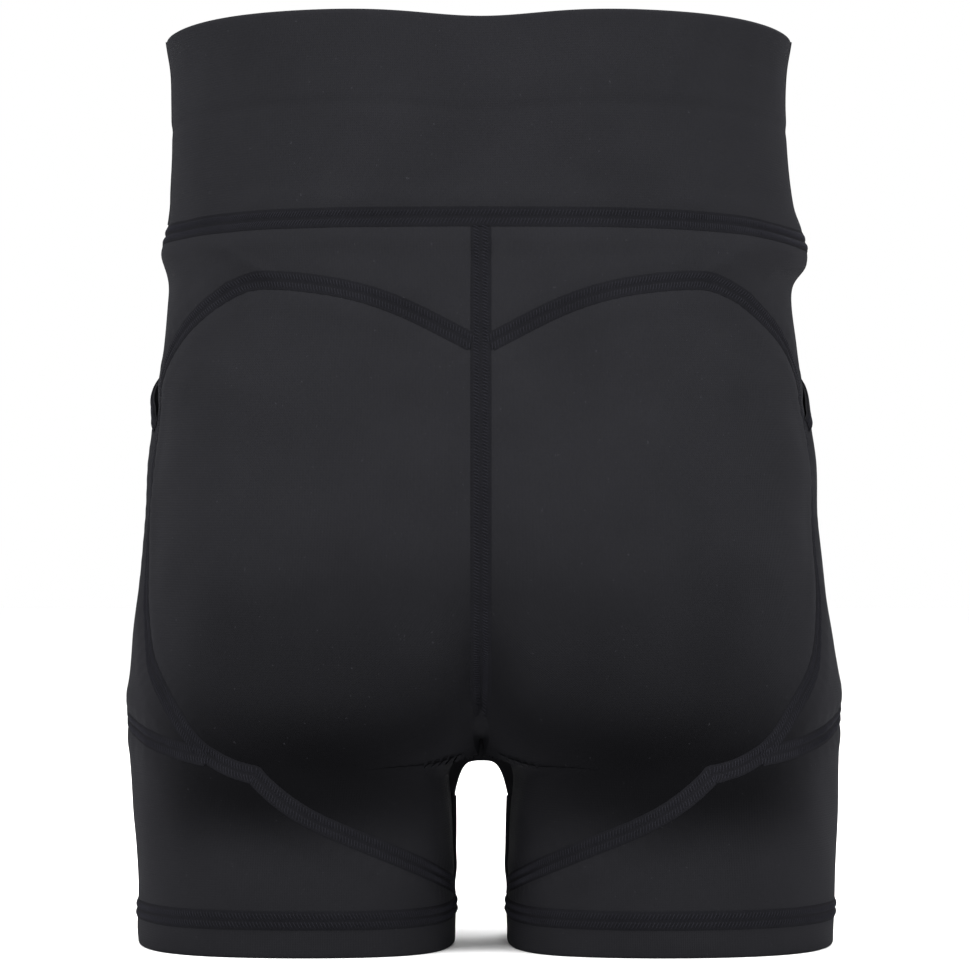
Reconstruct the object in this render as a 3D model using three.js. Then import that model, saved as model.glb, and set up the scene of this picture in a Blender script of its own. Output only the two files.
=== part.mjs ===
// Padded impact shorts: a high waisted stretch garment, standing on its two leg hems as if worn.
// Millimetres, +Z up. The wearer faces +Y, so the seat is on the -Y side and the wearer's right is +X.
// The whole garment follows one body surface. A place on it is (side, round, height): side is +1 or -1 for
// the wearer's right or left half, and round runs from -1 at the centre back over 0 at the outer side to
// +1 at the centre front. Below the crotch each half closes into a leg, and both ends meet at its inseam.
import * as THREE from "three";

// Overall sizes
const TOTAL_HEIGHT = 422.5;
const WAIST_SEAM_HEIGHT = 329;
const CROTCH_HEIGHT = 82;
const HEM_HALF_WIDTH = 160.3;
const HIP_HALF_WIDTH = 162.6;
const SEAT_HALF_WIDTH = 151.5;
const UPPER_HALF_WIDTH = 143.6;
const WAIST_HALF_WIDTH = 141.2;
const TOP_HALF_WIDTH = 143.5;
const HIP_HEIGHT = 113;
const SEAT_BACK_DEPTH = 113;
const BELLY_DEPTH = 97;
const LEG_BACK_DEPTH = 84;
const LEG_FRONT_DEPTH = 80;
const WAIST_BACK_DEPTH = 86;
const WAIST_FRONT_DEPTH = 88;
const LEG_GAP = 12;

// Shape of the body surface
const SQUARENESS = 0.12;
const CLEFT_TOP = 165;
const FRONT_FORK_TOP = 140;
const FORK_ROUNDNESS = 0.7;
const ARCH_HEIGHT = 12;
const ARCH_SQUARENESS = 4;
const TOP_SIDE_DIP = 7.5;
const TOP_CENTRE_DIP = 4;
const TOP_CENTRE_DIP_WIDTH = 35;
const WAIST_SEAM_SIDE_DIP = 5;

// Fabric, seams and clearances
const FABRIC = 1.2;
const LINING = 0.8;
const ELASTIC = 1.2;
const ELASTIC_WIDTH = 38;
const FOLD = 2;
const LAYER_GAP = 0.6;
const PANEL_GAP = 0.5;
// A leg that flares from the hip curves more, so the layers on it stand a share of the flare further apart.
const FLARE_SHARE = 0.03;
const FLARE_GAP = FLARE_SHARE * Math.abs(HIP_HALF_WIDTH - HEM_HALF_WIDTH);
const SEAM_GAP = 0.7 + FLARE_GAP;
const SEAM_HALF_WIDTH = 4.2;
const CENTRE_SEAM_HALF_WIDTH = 4.6;
const SEAM_THICKNESS = 0.9;
const SEAM_CLEARANCE = 1;
const SEAT_SEAM_END_GAP = 7;
const SEAM_STEP = 11;
const MOUTH_HEM_STEP = 10;
const CENTRE_BACK_STEP = 12;
const CENTRE_FRONT_STEP = 14;
const INSEAM_HALF_WIDTH = 3;
const MOUTH_HEM_HALF_WIDTH = 3;
const BAND_SEAM_HALF_WIDTH = 2.5;
const LENS_TIP = 0.02;
const YOKE_TIP = 0.01;
const LEG_TIP = 0.01;
const LEG_TOP_GAP = 0.8;
const POCKET_TIP = 0.004;

// Legs and hems
const HEM_HEIGHT = 26;
const HEM_THICKNESS = 2;
const HEM_STITCH_LOW = 13;
const HEM_STITCH_HIGH = 21;

// Gusset
const GUSSET_LOW = CROTCH_HEIGHT - 14;
const GUSSET_HIGH = CROTCH_HEIGHT + 18;
const GUSSET_HALF_WIDTH = 14;
const GUSSET_TIP = 0.94;
const CENTRE_GAP = 0.9;

// Side pockets and the seam that closes each front panel
const FRONT_SEAM_ANGLE = Math.PI / 4;
const POCKET_MOUTH_FRONT = 290;
const POCKET_BASE_FRONT = 131;
const POCKET_LIFT = 5.5;
const POCKET_DISH = 4.5;
const POCKET_OVERLAP = 12;
const POCKET_RISE = 0.3;
const POCKET_BASE_LIFT = 0.35;

// Seat seam: from the centre back up over the seat, down the side and under the seat to the inseam
const SEAT_SEAM = [
  [-1, 271], [-0.867, 288], [-0.752, 297], [-0.611, 301], [-0.507, 299.4], [-0.356, 287],
  [-0.183, 267], [-0.1, 238], [-0.122, 191], [-0.172, 163], [-0.254, 134], [-0.362, 112],
  [-0.405, 89], [-0.497, 66], [-0.62, 52], [-0.78, 40], [-1, 30],
];
const MOUTH_POINT = 7;
const BASE_POINT = 12;

// Facets along the three stretches of the seat seam, and up the front seam; panels that meet share them
const SEAM_FACETS = [8, 9, 10];
const YOKE_FACETS = 3;
const LEG_FACETS = 4;
const GUSSET_FACETS = 4;
const CENTRE_BACK_FACETS = 14;
const MOUTH_FACETS = 12;
const BASE_FACETS = 20;
const PANEL_COLUMNS = 10;
const FRONT_COLUMNS = 12;
const BAND_COLUMNS = 24;
const BAND_ROWS = 3;
const ELASTIC_COLUMNS = 44;
const WAIST_SEAM_COLUMNS = 60;
const HEM_COLUMNS = 32;
const HEM_ROWS = 2;
const HEM_STITCH_COLUMNS = 40;
const GUSSET_COLUMNS = 6;

// Impact pads and their sleeves
const PAD_BACKING = 0.8;
const PAD_CLEARANCE = 1.2;
const SLEEVE_CLEARANCE = 1.7;
const PAD_EDGE = 3;
const PAD_EDGE_RUN = 0.25;
const SLEEVE = 0.8;
const SLEEVE_RIM = 2.5;
const SLEEVE_STEP = 0.4;
const SLEEVE_COLUMNS = 8;
const SLEEVE_GRIP_ROWS = 1;
const PAD_ROWS = 8;
const PAD_COLUMNS = 8;
const SHELL_SAMPLES = 30;
const EDGE_SAMPLES = 60;
const HIP_ROUND_REACH = 0.62;
const TAILBONE_ROUND_REACH = 0.6;
const HIP_PAD = {
  thickness: 7, halfWidth: 46, low: 122, high: 246, lean: 0.16, corner: 14,
};
const TAILBONE_PAD = {
  thickness: 8, halfWidth: 42, low: 186, high: 292, lean: 0.2, corner: 12,
};

const black = (name, color, roughness) =>
  new THREE.MeshStandardMaterial({ name, color, roughness, metalness: 0 });
const jersey = black("stretch_jersey", 0x242425, 0.85);
const seamTape = black("seam_thread", 0x1c1b21, 0.7);
const liningKnit = black("lining_knit", 0x2b2b2d, 0.9);
const elasticWebbing = black("elastic_webbing", 0x39393b, 0.8);
const meshKnit = black("mesh_knit", 0x303033, 0.9);
const foam = black("impact_foam", 0x3a3d42, 0.75);

const shorts = new THREE.Group();
const lerp = THREE.MathUtils.lerp;
const clamp = THREE.MathUtils.clamp;

// A smooth curve through [height, value] stations.
function through(stations) {
  const last = stations.length - 1;
  const slopes = stations.map((_, i) => {
    const before = stations[Math.max(i - 1, 0)];
    const after = stations[Math.min(i + 1, last)];
    return (after[1] - before[1]) / (after[0] - before[0]);
  });
  return (height) => {
    let i = 0;
    while (i < last - 1 && height > stations[i + 1][0]) i += 1;
    const span = stations[i + 1][0] - stations[i][0];
    const t = clamp((height - stations[i][0]) / span, 0, 1);
    const start = (1 + 2 * t) * (1 - t) ** 2 * stations[i][1] + t * (1 - t) ** 2 * span * slopes[i];
    const end = t * t * (3 - 2 * t) * stations[i + 1][1] + t * t * (t - 1) * span * slopes[i + 1];
    return start + end;
  };
}

const halfWidth = through([
  [0, HEM_HALF_WIDTH],
  [CROTCH_HEIGHT * 0.7, (HEM_HALF_WIDTH + HIP_HALF_WIDTH) / 2],
  [HIP_HEIGHT, HIP_HALF_WIDTH],
  [lerp(HIP_HEIGHT, WAIST_SEAM_HEIGHT, 0.5), SEAT_HALF_WIDTH],
  [lerp(HIP_HEIGHT, WAIST_SEAM_HEIGHT, 0.87), UPPER_HALF_WIDTH],
  [lerp(WAIST_SEAM_HEIGHT, TOTAL_HEIGHT, 0.7), WAIST_HALF_WIDTH],
  [TOTAL_HEIGHT, TOP_HALF_WIDTH],
]);
const backDepth = through([
  [0, LEG_BACK_DEPTH],
  [CROTCH_HEIGHT, lerp(LEG_BACK_DEPTH, SEAT_BACK_DEPTH, 0.4)],
  [lerp(CROTCH_HEIGHT, WAIST_SEAM_HEIGHT, 0.2), lerp(LEG_BACK_DEPTH, SEAT_BACK_DEPTH, 0.83)],
  [lerp(CROTCH_HEIGHT, WAIST_SEAM_HEIGHT, 0.44), SEAT_BACK_DEPTH],
  [lerp(CROTCH_HEIGHT, WAIST_SEAM_HEIGHT, 0.68), lerp(WAIST_BACK_DEPTH, SEAT_BACK_DEPTH, 0.74)],
  [WAIST_SEAM_HEIGHT, lerp(WAIST_BACK_DEPTH, SEAT_BACK_DEPTH, 0.19)],
  [TOTAL_HEIGHT, WAIST_BACK_DEPTH],
]);
const frontDepth = through([
  [0, LEG_FRONT_DEPTH],
  [CROTCH_HEIGHT, lerp(LEG_FRONT_DEPTH, BELLY_DEPTH, 0.35)],
  [lerp(CROTCH_HEIGHT, WAIST_SEAM_HEIGHT, 0.3), lerp(LEG_FRONT_DEPTH, BELLY_DEPTH, 0.76)],
  [lerp(CROTCH_HEIGHT, WAIST_SEAM_HEIGHT, 0.65), BELLY_DEPTH],
  [WAIST_SEAM_HEIGHT, lerp(WAIST_FRONT_DEPTH, BELLY_DEPTH, 0.5)],
  [TOTAL_HEIGHT, WAIST_FRONT_DEPTH],
]);

// How far round a half section turns from the outer side: a quarter turn on the trunk, half a turn on a leg.
function turnAt(height, forkTop) {
  const share = clamp((height - CROTCH_HEIGHT) / (forkTop - CROTCH_HEIGHT), 0, 1);
  return Math.PI - (Math.PI / 2) * Math.sin((Math.PI / 2) * share ** FORK_ROUNDNESS);
}

// Half the space between the legs: a square shouldered arch under the crotch.
function gapAt(height) {
  const share = clamp((CROTCH_HEIGHT - height) / ARCH_HEIGHT, 0, 1);
  return LEG_GAP * (1 - (1 - share) ** ARCH_SQUARENESS) ** (1 / ARCH_SQUARENESS);
}

const roundX = (angle) => Math.cos(angle) * (1 + SQUARENESS * Math.sin(angle) ** 2);
const roundY = (angle) => Math.sin(angle) * (1 + SQUARENESS * Math.cos(angle) ** 2);

// A point of the outer surface of the wearer's right half.
function bodyPoint(round, height) {
  const back = round < 0;
  const turn = turnAt(height, back ? CLEFT_TOP : FRONT_FORK_TOP);
  const angle = Math.abs(round) * turn;
  const width = halfWidth(height);
  const reach = (width - gapAt(height)) / (1 - roundX(turn));
  const depth = back ? -backDepth(height) : frontDepth(height);
  return new THREE.Vector3(width - reach * (1 - roundX(angle)), depth * roundY(angle), height);
}

// The two directions along the surface there: round it and up it.
function bodyTangents(round, height) {
  const stepRound = 0.002;
  const stepUp = 0.4;
  const along = bodyPoint(round + stepRound, height).sub(bodyPoint(round - stepRound, height));
  const up = bodyPoint(round, height + stepUp).sub(bodyPoint(round, height - stepUp));
  return [along.divideScalar(2 * stepRound), up.divideScalar(2 * stepUp)];
}

function bodyNormal(round, height) {
  const [along, up] = bodyTangents(round, height);
  return along.cross(up).normalize();
}

// The surface moved outwards by an offset; the hem edge stays level.
function atOffset(side, round, height, offset) {
  const point = bodyPoint(round, height).addScaledVector(bodyNormal(round, height), offset);
  if (height <= 0) point.z = 0;
  point.x *= side;
  return point;
}

// A closed body from a grid of [outer, inner] points: two faces and the walls round them.
// When wraps is true the first direction closes on itself, as a ring does.
function closedSheet(name, material, countA, countB, pair, wraps = false) {
  const columns = wraps ? countA : countA + 1;
  const rows = countB + 1;
  const outer = [];
  const inner = [];
  for (let i = 0; i < columns; i += 1) {
    for (let j = 0; j < rows; j += 1) {
      const [out, inn] = pair(i / countA, j / countB);
      outer.push(out);
      inner.push(inn);
    }
  }
  const faces = [];
  const quad = (a, b, c, d) => faces.push(a, b, c, a, c, d);
  const at = (i, j) => (i % columns) * rows + j;
  const total = columns * rows;
  for (let i = 0; i < countA; i += 1) {
    for (let j = 0; j < countB; j += 1) {
      quad(at(i, j), at(i + 1, j), at(i + 1, j + 1), at(i, j + 1));
      quad(total + at(i, j), total + at(i, j + 1), total + at(i + 1, j + 1), total + at(i + 1, j));
    }
    quad(at(i, 0), total + at(i, 0), total + at(i + 1, 0), at(i + 1, 0));
    quad(at(i, countB), at(i + 1, countB), total + at(i + 1, countB), total + at(i, countB));
  }
  for (let j = 0; j < countB && !wraps; j += 1) {
    quad(at(0, j), at(0, j + 1), total + at(0, j + 1), total + at(0, j));
    quad(at(countA, j), total + at(countA, j), total + at(countA, j + 1), at(countA, j + 1));
  }
  const points = [...outer, ...inner];
  let volume = 0;
  for (let f = 0; f < faces.length; f += 3) {
    const [a, b, c] = [points[faces[f]], points[faces[f + 1]], points[faces[f + 2]]];
    volume += a.dot(b.clone().cross(c)) / 6;
  }
  if (volume < 0) faces.reverse();
  const geometry = new THREE.BufferGeometry();
  geometry.setAttribute("position", new THREE.Float32BufferAttribute(points.flatMap((p) => p.toArray()), 3));
  geometry.setIndex(faces);
  geometry.computeVertexNormals();
  const mesh = new THREE.Mesh(geometry, material);
  mesh.name = name;
  shorts.add(mesh);
}

const sideName = (side) => (side > 0 ? "right" : "left");

// A panel of fabric over the part of the surface that place(s, t) -> [round, height] covers.
function panel(name, material, side, countA, countB, place, outerOffset, innerOffset, wraps = false) {
  closedSheet(name, material, countA, countB, (s, t) => {
    const [round, height] = place(s, t);
    return [
      atOffset(side, round, height, outerOffset(s, t)),
      atOffset(side, round, height, innerOffset(s, t)),
    ];
  }, wraps);
}

const level = (offset) => () => offset;

// Straight lines between two edges, stopping a gap short of each: s runs across, t along.
function ruled(edgeA, edgeB, gapA, gapB) {
  return (s, t) => {
    const from = edgeA(t);
    const to = edgeB(t);
    const length = bodyPoint(...from).distanceTo(bodyPoint(...to));
    const share = lerp(gapA / length, 1 - gapB / length, s);
    return [lerp(from[0], to[0], share), lerp(from[1], to[1], share)];
  };
}

// The same path run at an even pace along its real length.
function evenly(path, from = 0, to = 1) {
  const steps = 160;
  const lengths = [0];
  let previous = bodyPoint(...path(from));
  for (let i = 1; i <= steps; i += 1) {
    const next = bodyPoint(...path(lerp(from, to, i / steps)));
    lengths.push(lengths[i - 1] + next.distanceTo(previous));
    previous = next;
  }
  const whole = lengths[steps];
  const even = (share) => {
    const wanted = clamp(share, 0, 1) * whole;
    let i = 0;
    while (i < steps - 1 && lengths[i + 1] < wanted) i += 1;
    const local = (wanted - lengths[i]) / (lengths[i + 1] - lengths[i]);
    return path(lerp(from, to, (i + local) / steps));
  };
  even.whole = whole;
  return even;
}

// The part of an even path that stays clear of both of its ends.
function trimmed(path, gapFrom, gapTo) {
  const low = gapFrom / path.whole;
  const high = 1 - gapTo / path.whole;
  const cut = (share) => path(lerp(low, high, share));
  cut.whole = path.whole * (high - low);
  return cut;
}

// A stitched seam band that lies on the surface along a path.
function seamBand(name, side, path, halfWidthOfBand, stepLength, lift = () => 0) {
  const count = Math.max(2, Math.round(path.whole / stepLength));
  const nudge = 0.01;
  closedSheet(name, seamTape, count, 1, (s, t) => {
    const [round, height] = path(s);
    const ahead = bodyPoint(...path(Math.min(s + nudge, 1)));
    const behind = bodyPoint(...path(Math.max(s - nudge, 0)));
    const [along, up] = bodyTangents(round, height);
    const normal = along.clone().cross(up).normalize();
    const across = normal.clone().cross(ahead.sub(behind)).normalize();
    across.multiplyScalar(lerp(-halfWidthOfBand, halfWidthOfBand, t));
    const aa = along.dot(along);
    const au = along.dot(up);
    const uu = up.dot(up);
    const base = aa * uu - au * au;
    const dRound = (across.dot(along) * uu - across.dot(up) * au) / base;
    const dHeight = (across.dot(up) * aa - across.dot(along) * au) / base;
    const low = lift(round, height) + SEAM_GAP;
    return [
      atOffset(side, round + dRound, height + dHeight, low + SEAM_THICKNESS),
      atOffset(side, round + dRound, height + dHeight, low),
    ];
  });
}

// ---- Lines that the panels share ----
const topEdge = (round) => {
  const x = bodyPoint(round, TOTAL_HEIGHT).x;
  const side = Math.cos((Math.abs(round) * Math.PI) / 2) ** 4;
  return TOTAL_HEIGHT - TOP_SIDE_DIP * side - TOP_CENTRE_DIP * Math.exp(-((x / TOP_CENTRE_DIP_WIDTH) ** 2));
};
const waistSeam = (round) =>
  WAIST_SEAM_HEIGHT - WAIST_SEAM_SIDE_DIP * Math.cos((Math.abs(round) * Math.PI) / 2) ** 4;

const ROUND_SCALE = 100;
const seatSpline = new THREE.SplineCurve(SEAT_SEAM.map(([r, z]) => new THREE.Vector2(r * ROUND_SCALE, z)));
const seatSeam = (t) => {
  const point = seatSpline.getPoint(t);
  return [clamp(point.x / ROUND_SCALE, -1, 0), point.y];
};
const seamShare = (index) => index / (SEAT_SEAM.length - 1);
const MOUTH_SHARE = seamShare(MOUTH_POINT);
const BASE_SHARE = seamShare(BASE_POINT);

// The front side seam keeps one angle from the outer side all the way down the trunk and the leg.
const frontSeamRound = (height) => FRONT_SEAM_ANGLE / turnAt(height, FRONT_FORK_TOP);
const mouthBack = seatSeam(MOUTH_SHARE);
const baseBack = seatSeam(BASE_SHARE);
const mouthFront = [frontSeamRound(POCKET_MOUTH_FRONT), POCKET_MOUTH_FRONT];
const baseFront = [frontSeamRound(POCKET_BASE_FRONT), POCKET_BASE_FRONT];
const lineBetween = (from, to) => (round) => lerp(from[1], to[1], (round - from[0]) / (to[0] - from[0]));
const pocketMouth = lineBetween(mouthBack, mouthFront);
const pocketBase = lineBetween(baseBack, baseFront);

// Round position of the gusset's edge, on the back or the front of a half.
function gussetEdge(height, back) {
  const share = clamp((height - GUSSET_LOW) / (GUSSET_HIGH - GUSSET_LOW), 0, 1);
  const width = GUSSET_HALF_WIDTH * (1 - Math.abs(2 * share - 1));
  const end = back ? -1 : 1;
  const length = bodyTangents(end, height)[0].length();
  return end - (end * width) / length;
}

// ---- Waistband ----
// A strip that crosses the centre back or centre front, from the wearer's left side to the right.
function band(name, material, back, count, rows, low, high, outerOffset, innerOffset) {
  const halfArc = evenly((share) => [back ? -share : share, WAIST_SEAM_HEIGHT]).whole;
  closedSheet(name, material, count, rows, (s, t) => {
    const across = lerp(-1, 1, s) * (1 - PANEL_GAP / halfArc);
    const round = (back ? -1 : 1) * (1 - Math.abs(across));
    const height = lerp(low(round), high(round), t);
    const side = across < 0 ? -1 : 1;
    return [
      atOffset(side, round, height, outerOffset),
      atOffset(side, round, height, innerOffset),
    ];
  });
}

// A closed ring round the whole trunk.
function trunkRing(name, material, count, rows, low, high, outerOffset, innerOffset) {
  closedSheet(name, material, count, rows, (s, t) => {
    const turn = s * 4;
    const side = turn < 2 ? 1 : -1;
    const round = side > 0 ? turn - 1 : 3 - turn;
    const height = lerp(low(round), high(round), t);
    return [
      atOffset(side, round, height, outerOffset),
      atOffset(side, round, height, innerOffset),
    ];
  }, true);
}

const elasticOuter = -FABRIC - LAYER_GAP;
const liningOuter = elasticOuter - ELASTIC - LAYER_GAP;
const bandLow = (round) => waistSeam(round) + PANEL_GAP;
for (const back of [true, false]) {
  const place = back ? "back" : "front";
  band(`waistband_outer_${place}`, jersey, back, BAND_COLUMNS, BAND_ROWS, bandLow, topEdge, 0, -FABRIC);
  band(`waistband_lining_${place}`, liningKnit, back, BAND_COLUMNS, BAND_ROWS + 1, bandLow,
    (round) => topEdge(round) - FOLD, liningOuter, liningOuter - LINING);
}
trunkRing("waist_elastic", elasticWebbing, ELASTIC_COLUMNS, BAND_ROWS,
  (round) => topEdge(round) - FOLD - ELASTIC_WIDTH, (round) => topEdge(round) - FOLD,
  elasticOuter, elasticOuter - ELASTIC);
trunkRing("waist_seam", seamTape, WAIST_SEAM_COLUMNS, 1, (round) => waistSeam(round) - SEAM_HALF_WIDTH,
  (round) => waistSeam(round) + SEAM_HALF_WIDTH, SEAM_GAP + SEAM_THICKNESS, SEAM_GAP);

// ---- Centre seams and gusset ----
// A seam band folded over the centre line: its middle stands where the offsets of the two halves meet.
function centreSeam(name, back, low, high, stepLength) {
  const end = back ? -1 : 1;
  const path = evenly((share) => [end, lerp(high, low, share)]);
  const count = Math.round(path.whole / stepLength);
  closedSheet(name, seamTape, count, 2, (s, t) => {
    const height = path(s)[1];
    const across = lerp(-1, 1, t);
    const place = (offset) => {
      if (across !== 0) {
        const inset = CENTRE_SEAM_HALF_WIDTH / bodyTangents(end, height)[0].length();
        return atOffset(Math.sign(across), end - end * inset, height, offset);
      }
      const normal = bodyNormal(end, height);
      const middle = new THREE.Vector3(0, normal.y, normal.z).normalize();
      const centre = bodyPoint(end, height).setX(0);
      return centre.addScaledVector(middle, offset / middle.dot(normal));
    };
    return [place(SEAM_GAP + SEAM_THICKNESS), place(SEAM_GAP)];
  });
}

const centreTop = WAIST_SEAM_HEIGHT - SEAM_HALF_WIDTH - SEAM_CLEARANCE;
const centreLow = GUSSET_HIGH + SEAM_CLEARANCE;
centreSeam("centre_back_seam", true, centreLow, centreTop, CENTRE_BACK_STEP);
centreSeam("centre_front_seam", false, centreLow, centreTop, CENTRE_FRONT_STEP);

// Height of the line between the legs' two halves, a given way in front of or behind the middle.
function crotchHeight(away, back) {
  let low = CROTCH_HEIGHT;
  let high = back ? CLEFT_TOP : FRONT_FORK_TOP;
  for (let i = 0; i < 30; i += 1) {
    const middle = (low + high) / 2;
    if (Math.abs(bodyPoint(back ? -1 : 1, middle).y) < Math.abs(away)) low = middle;
    else high = middle;
  }
  return low;
}

// The gusset bridges the two halves under the crotch, from a point behind to a point in front.
closedSheet("crotch_gusset", jersey, GUSSET_FACETS * 2, GUSSET_COLUMNS, (s, t) => {
  const along = clamp(lerp(-1, 1, s), -GUSSET_TIP, GUSSET_TIP);
  const across = lerp(-1, 1, t);
  const back = along < 0;
  const height = lerp(GUSSET_LOW, GUSSET_HIGH, Math.abs(along));
  const arch = 1 - Math.abs(across) ** ARCH_SQUARENESS;
  const place = (offset) => {
    const edge = atOffset(1, gussetEdge(height, back), height, offset);
    const centre = Math.max(crotchHeight(edge.y, back) - offset, edge.z);
    return new THREE.Vector3(across * edge.x, edge.y, lerp(edge.z, centre, arch));
  };
  return [place(0), place(-FABRIC)];
});

// ---- The pockets' hollow: how far the pocket panel stands out and its backing dishes in ----
const seatRounds = Array.from({ length: EDGE_SAMPLES }, (_, i) =>
  seatSeam(lerp(MOUTH_SHARE, BASE_SHARE, i / (EDGE_SAMPLES - 1))));
function seatSeamRound(height) {
  let best = seatRounds[0];
  for (const place of seatRounds) {
    if (Math.abs(place[1] - height) < Math.abs(best[1] - height)) best = place;
  }
  return best[0];
}
function inPocket(round, height) {
  const seam = seatSeamRound(height);
  const across = clamp((round - seam) / (frontSeamRound(height) - seam), 0, 1);
  const up = (height - pocketBase(round)) / (pocketMouth(round) - pocketBase(round));
  return [Math.sin(Math.PI * across), up];
}
function pocketLift(round, height) {
  const [middle, up] = inPocket(round, height);
  const rise = THREE.MathUtils.smoothstep(up, 0, POCKET_RISE);
  return POCKET_LIFT * middle * rise * lerp(POCKET_BASE_LIFT, 1, clamp(up, 0, 1) ** 3);
}
function pocketDish(round, height) {
  const [middle, up] = inPocket(round, height);
  const above = (height - pocketMouth(round)) / POCKET_OVERLAP;
  return POCKET_DISH * middle * THREE.MathUtils.smoothstep(up, 0, POCKET_RISE) * (1 - clamp(above, 0, 1) ** 2);
}

// ---- The panels, seams and hem of each half ----
// A path made of stretches, each with its own number of facets, so that its corners are met exactly.
function stretches(paths, facets) {
  const total = facets.reduce((sum, count) => sum + count, 0);
  return (t) => {
    let done = t * total;
    let i = 0;
    while (i < paths.length - 1 && done > facets[i] + 1e-9) {
      done -= facets[i];
      i += 1;
    }
    return paths[i](clamp(done / facets[i], 0, 1));
  };
}
const sum = (list) => list.reduce((total, value) => total + value, 0);
const upTo = (from, to) => (t) => lerp(from, to, t);

const seatTop = seatSeam(0)[1];
const seatLow = seatSeam(1)[1];
const seamRows = sum(SEAM_FACETS);
const centreHeights = stretches(
  [upTo(seatTop, GUSSET_HIGH), upTo(GUSSET_HIGH, GUSSET_LOW), upTo(GUSSET_LOW, seatLow)],
  [CENTRE_BACK_FACETS, GUSSET_FACETS, seamRows - CENTRE_BACK_FACETS - GUSSET_FACETS],
);
const centreEdge = (t) => [gussetEdge(centreHeights(t), true), centreHeights(t)];
const seatTopEdge = evenly(seatSeam, 0, MOUTH_SHARE);
const pocketBackEdge = evenly(seatSeam, MOUTH_SHARE, BASE_SHARE);
const seatLowEdge = evenly(seatSeam, BASE_SHARE, 1);
const seatEdge = stretches([seatTopEdge, pocketBackEdge, seatLowEdge], SEAM_FACETS);
const wholeSeatSeam = evenly(seatSeam);
const downFrontSeam = (from, to) => (t) => [frontSeamRound(lerp(from, to, t)), lerp(from, to, t)];
const pocketFrontEdge = downFrontSeam(POCKET_MOUTH_FRONT, POCKET_BASE_FRONT);
const pocketBaseLine = evenly((t) => {
  const round = lerp(baseBack[0], baseFront[0], t);
  return [round, pocketBase(round)];
});
const pocketMouthLine = evenly((t) => {
  const round = lerp(mouthBack[0], mouthFront[0], t);
  return [round, pocketMouth(round) - MOUTH_HEM_HALF_WIDTH - PANEL_GAP];
});
const frontSeamLine = evenly(downFrontSeam(WAIST_SEAM_HEIGHT, HEM_STITCH_HIGH));
const roundGap = PANEL_GAP / pocketBaseLine.whole;

const frontFacets = [LEG_FACETS + 1, SEAM_FACETS[1], YOKE_FACETS];
const frontSeamHeights = stretches([
  upTo(0, POCKET_BASE_FRONT),
  upTo(POCKET_BASE_FRONT, POCKET_MOUTH_FRONT),
  upTo(POCKET_MOUTH_FRONT, waistSeam(mouthFront[0]) - PANEL_GAP),
], frontFacets);
const centreFrontHeights = stretches([
  upTo(0, GUSSET_LOW),
  upTo(GUSSET_LOW, GUSSET_HIGH),
  upTo(GUSSET_HIGH, WAIST_SEAM_HEIGHT - PANEL_GAP),
], [1, GUSSET_FACETS, sum(frontFacets) - 1 - GUSSET_FACETS]);

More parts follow.
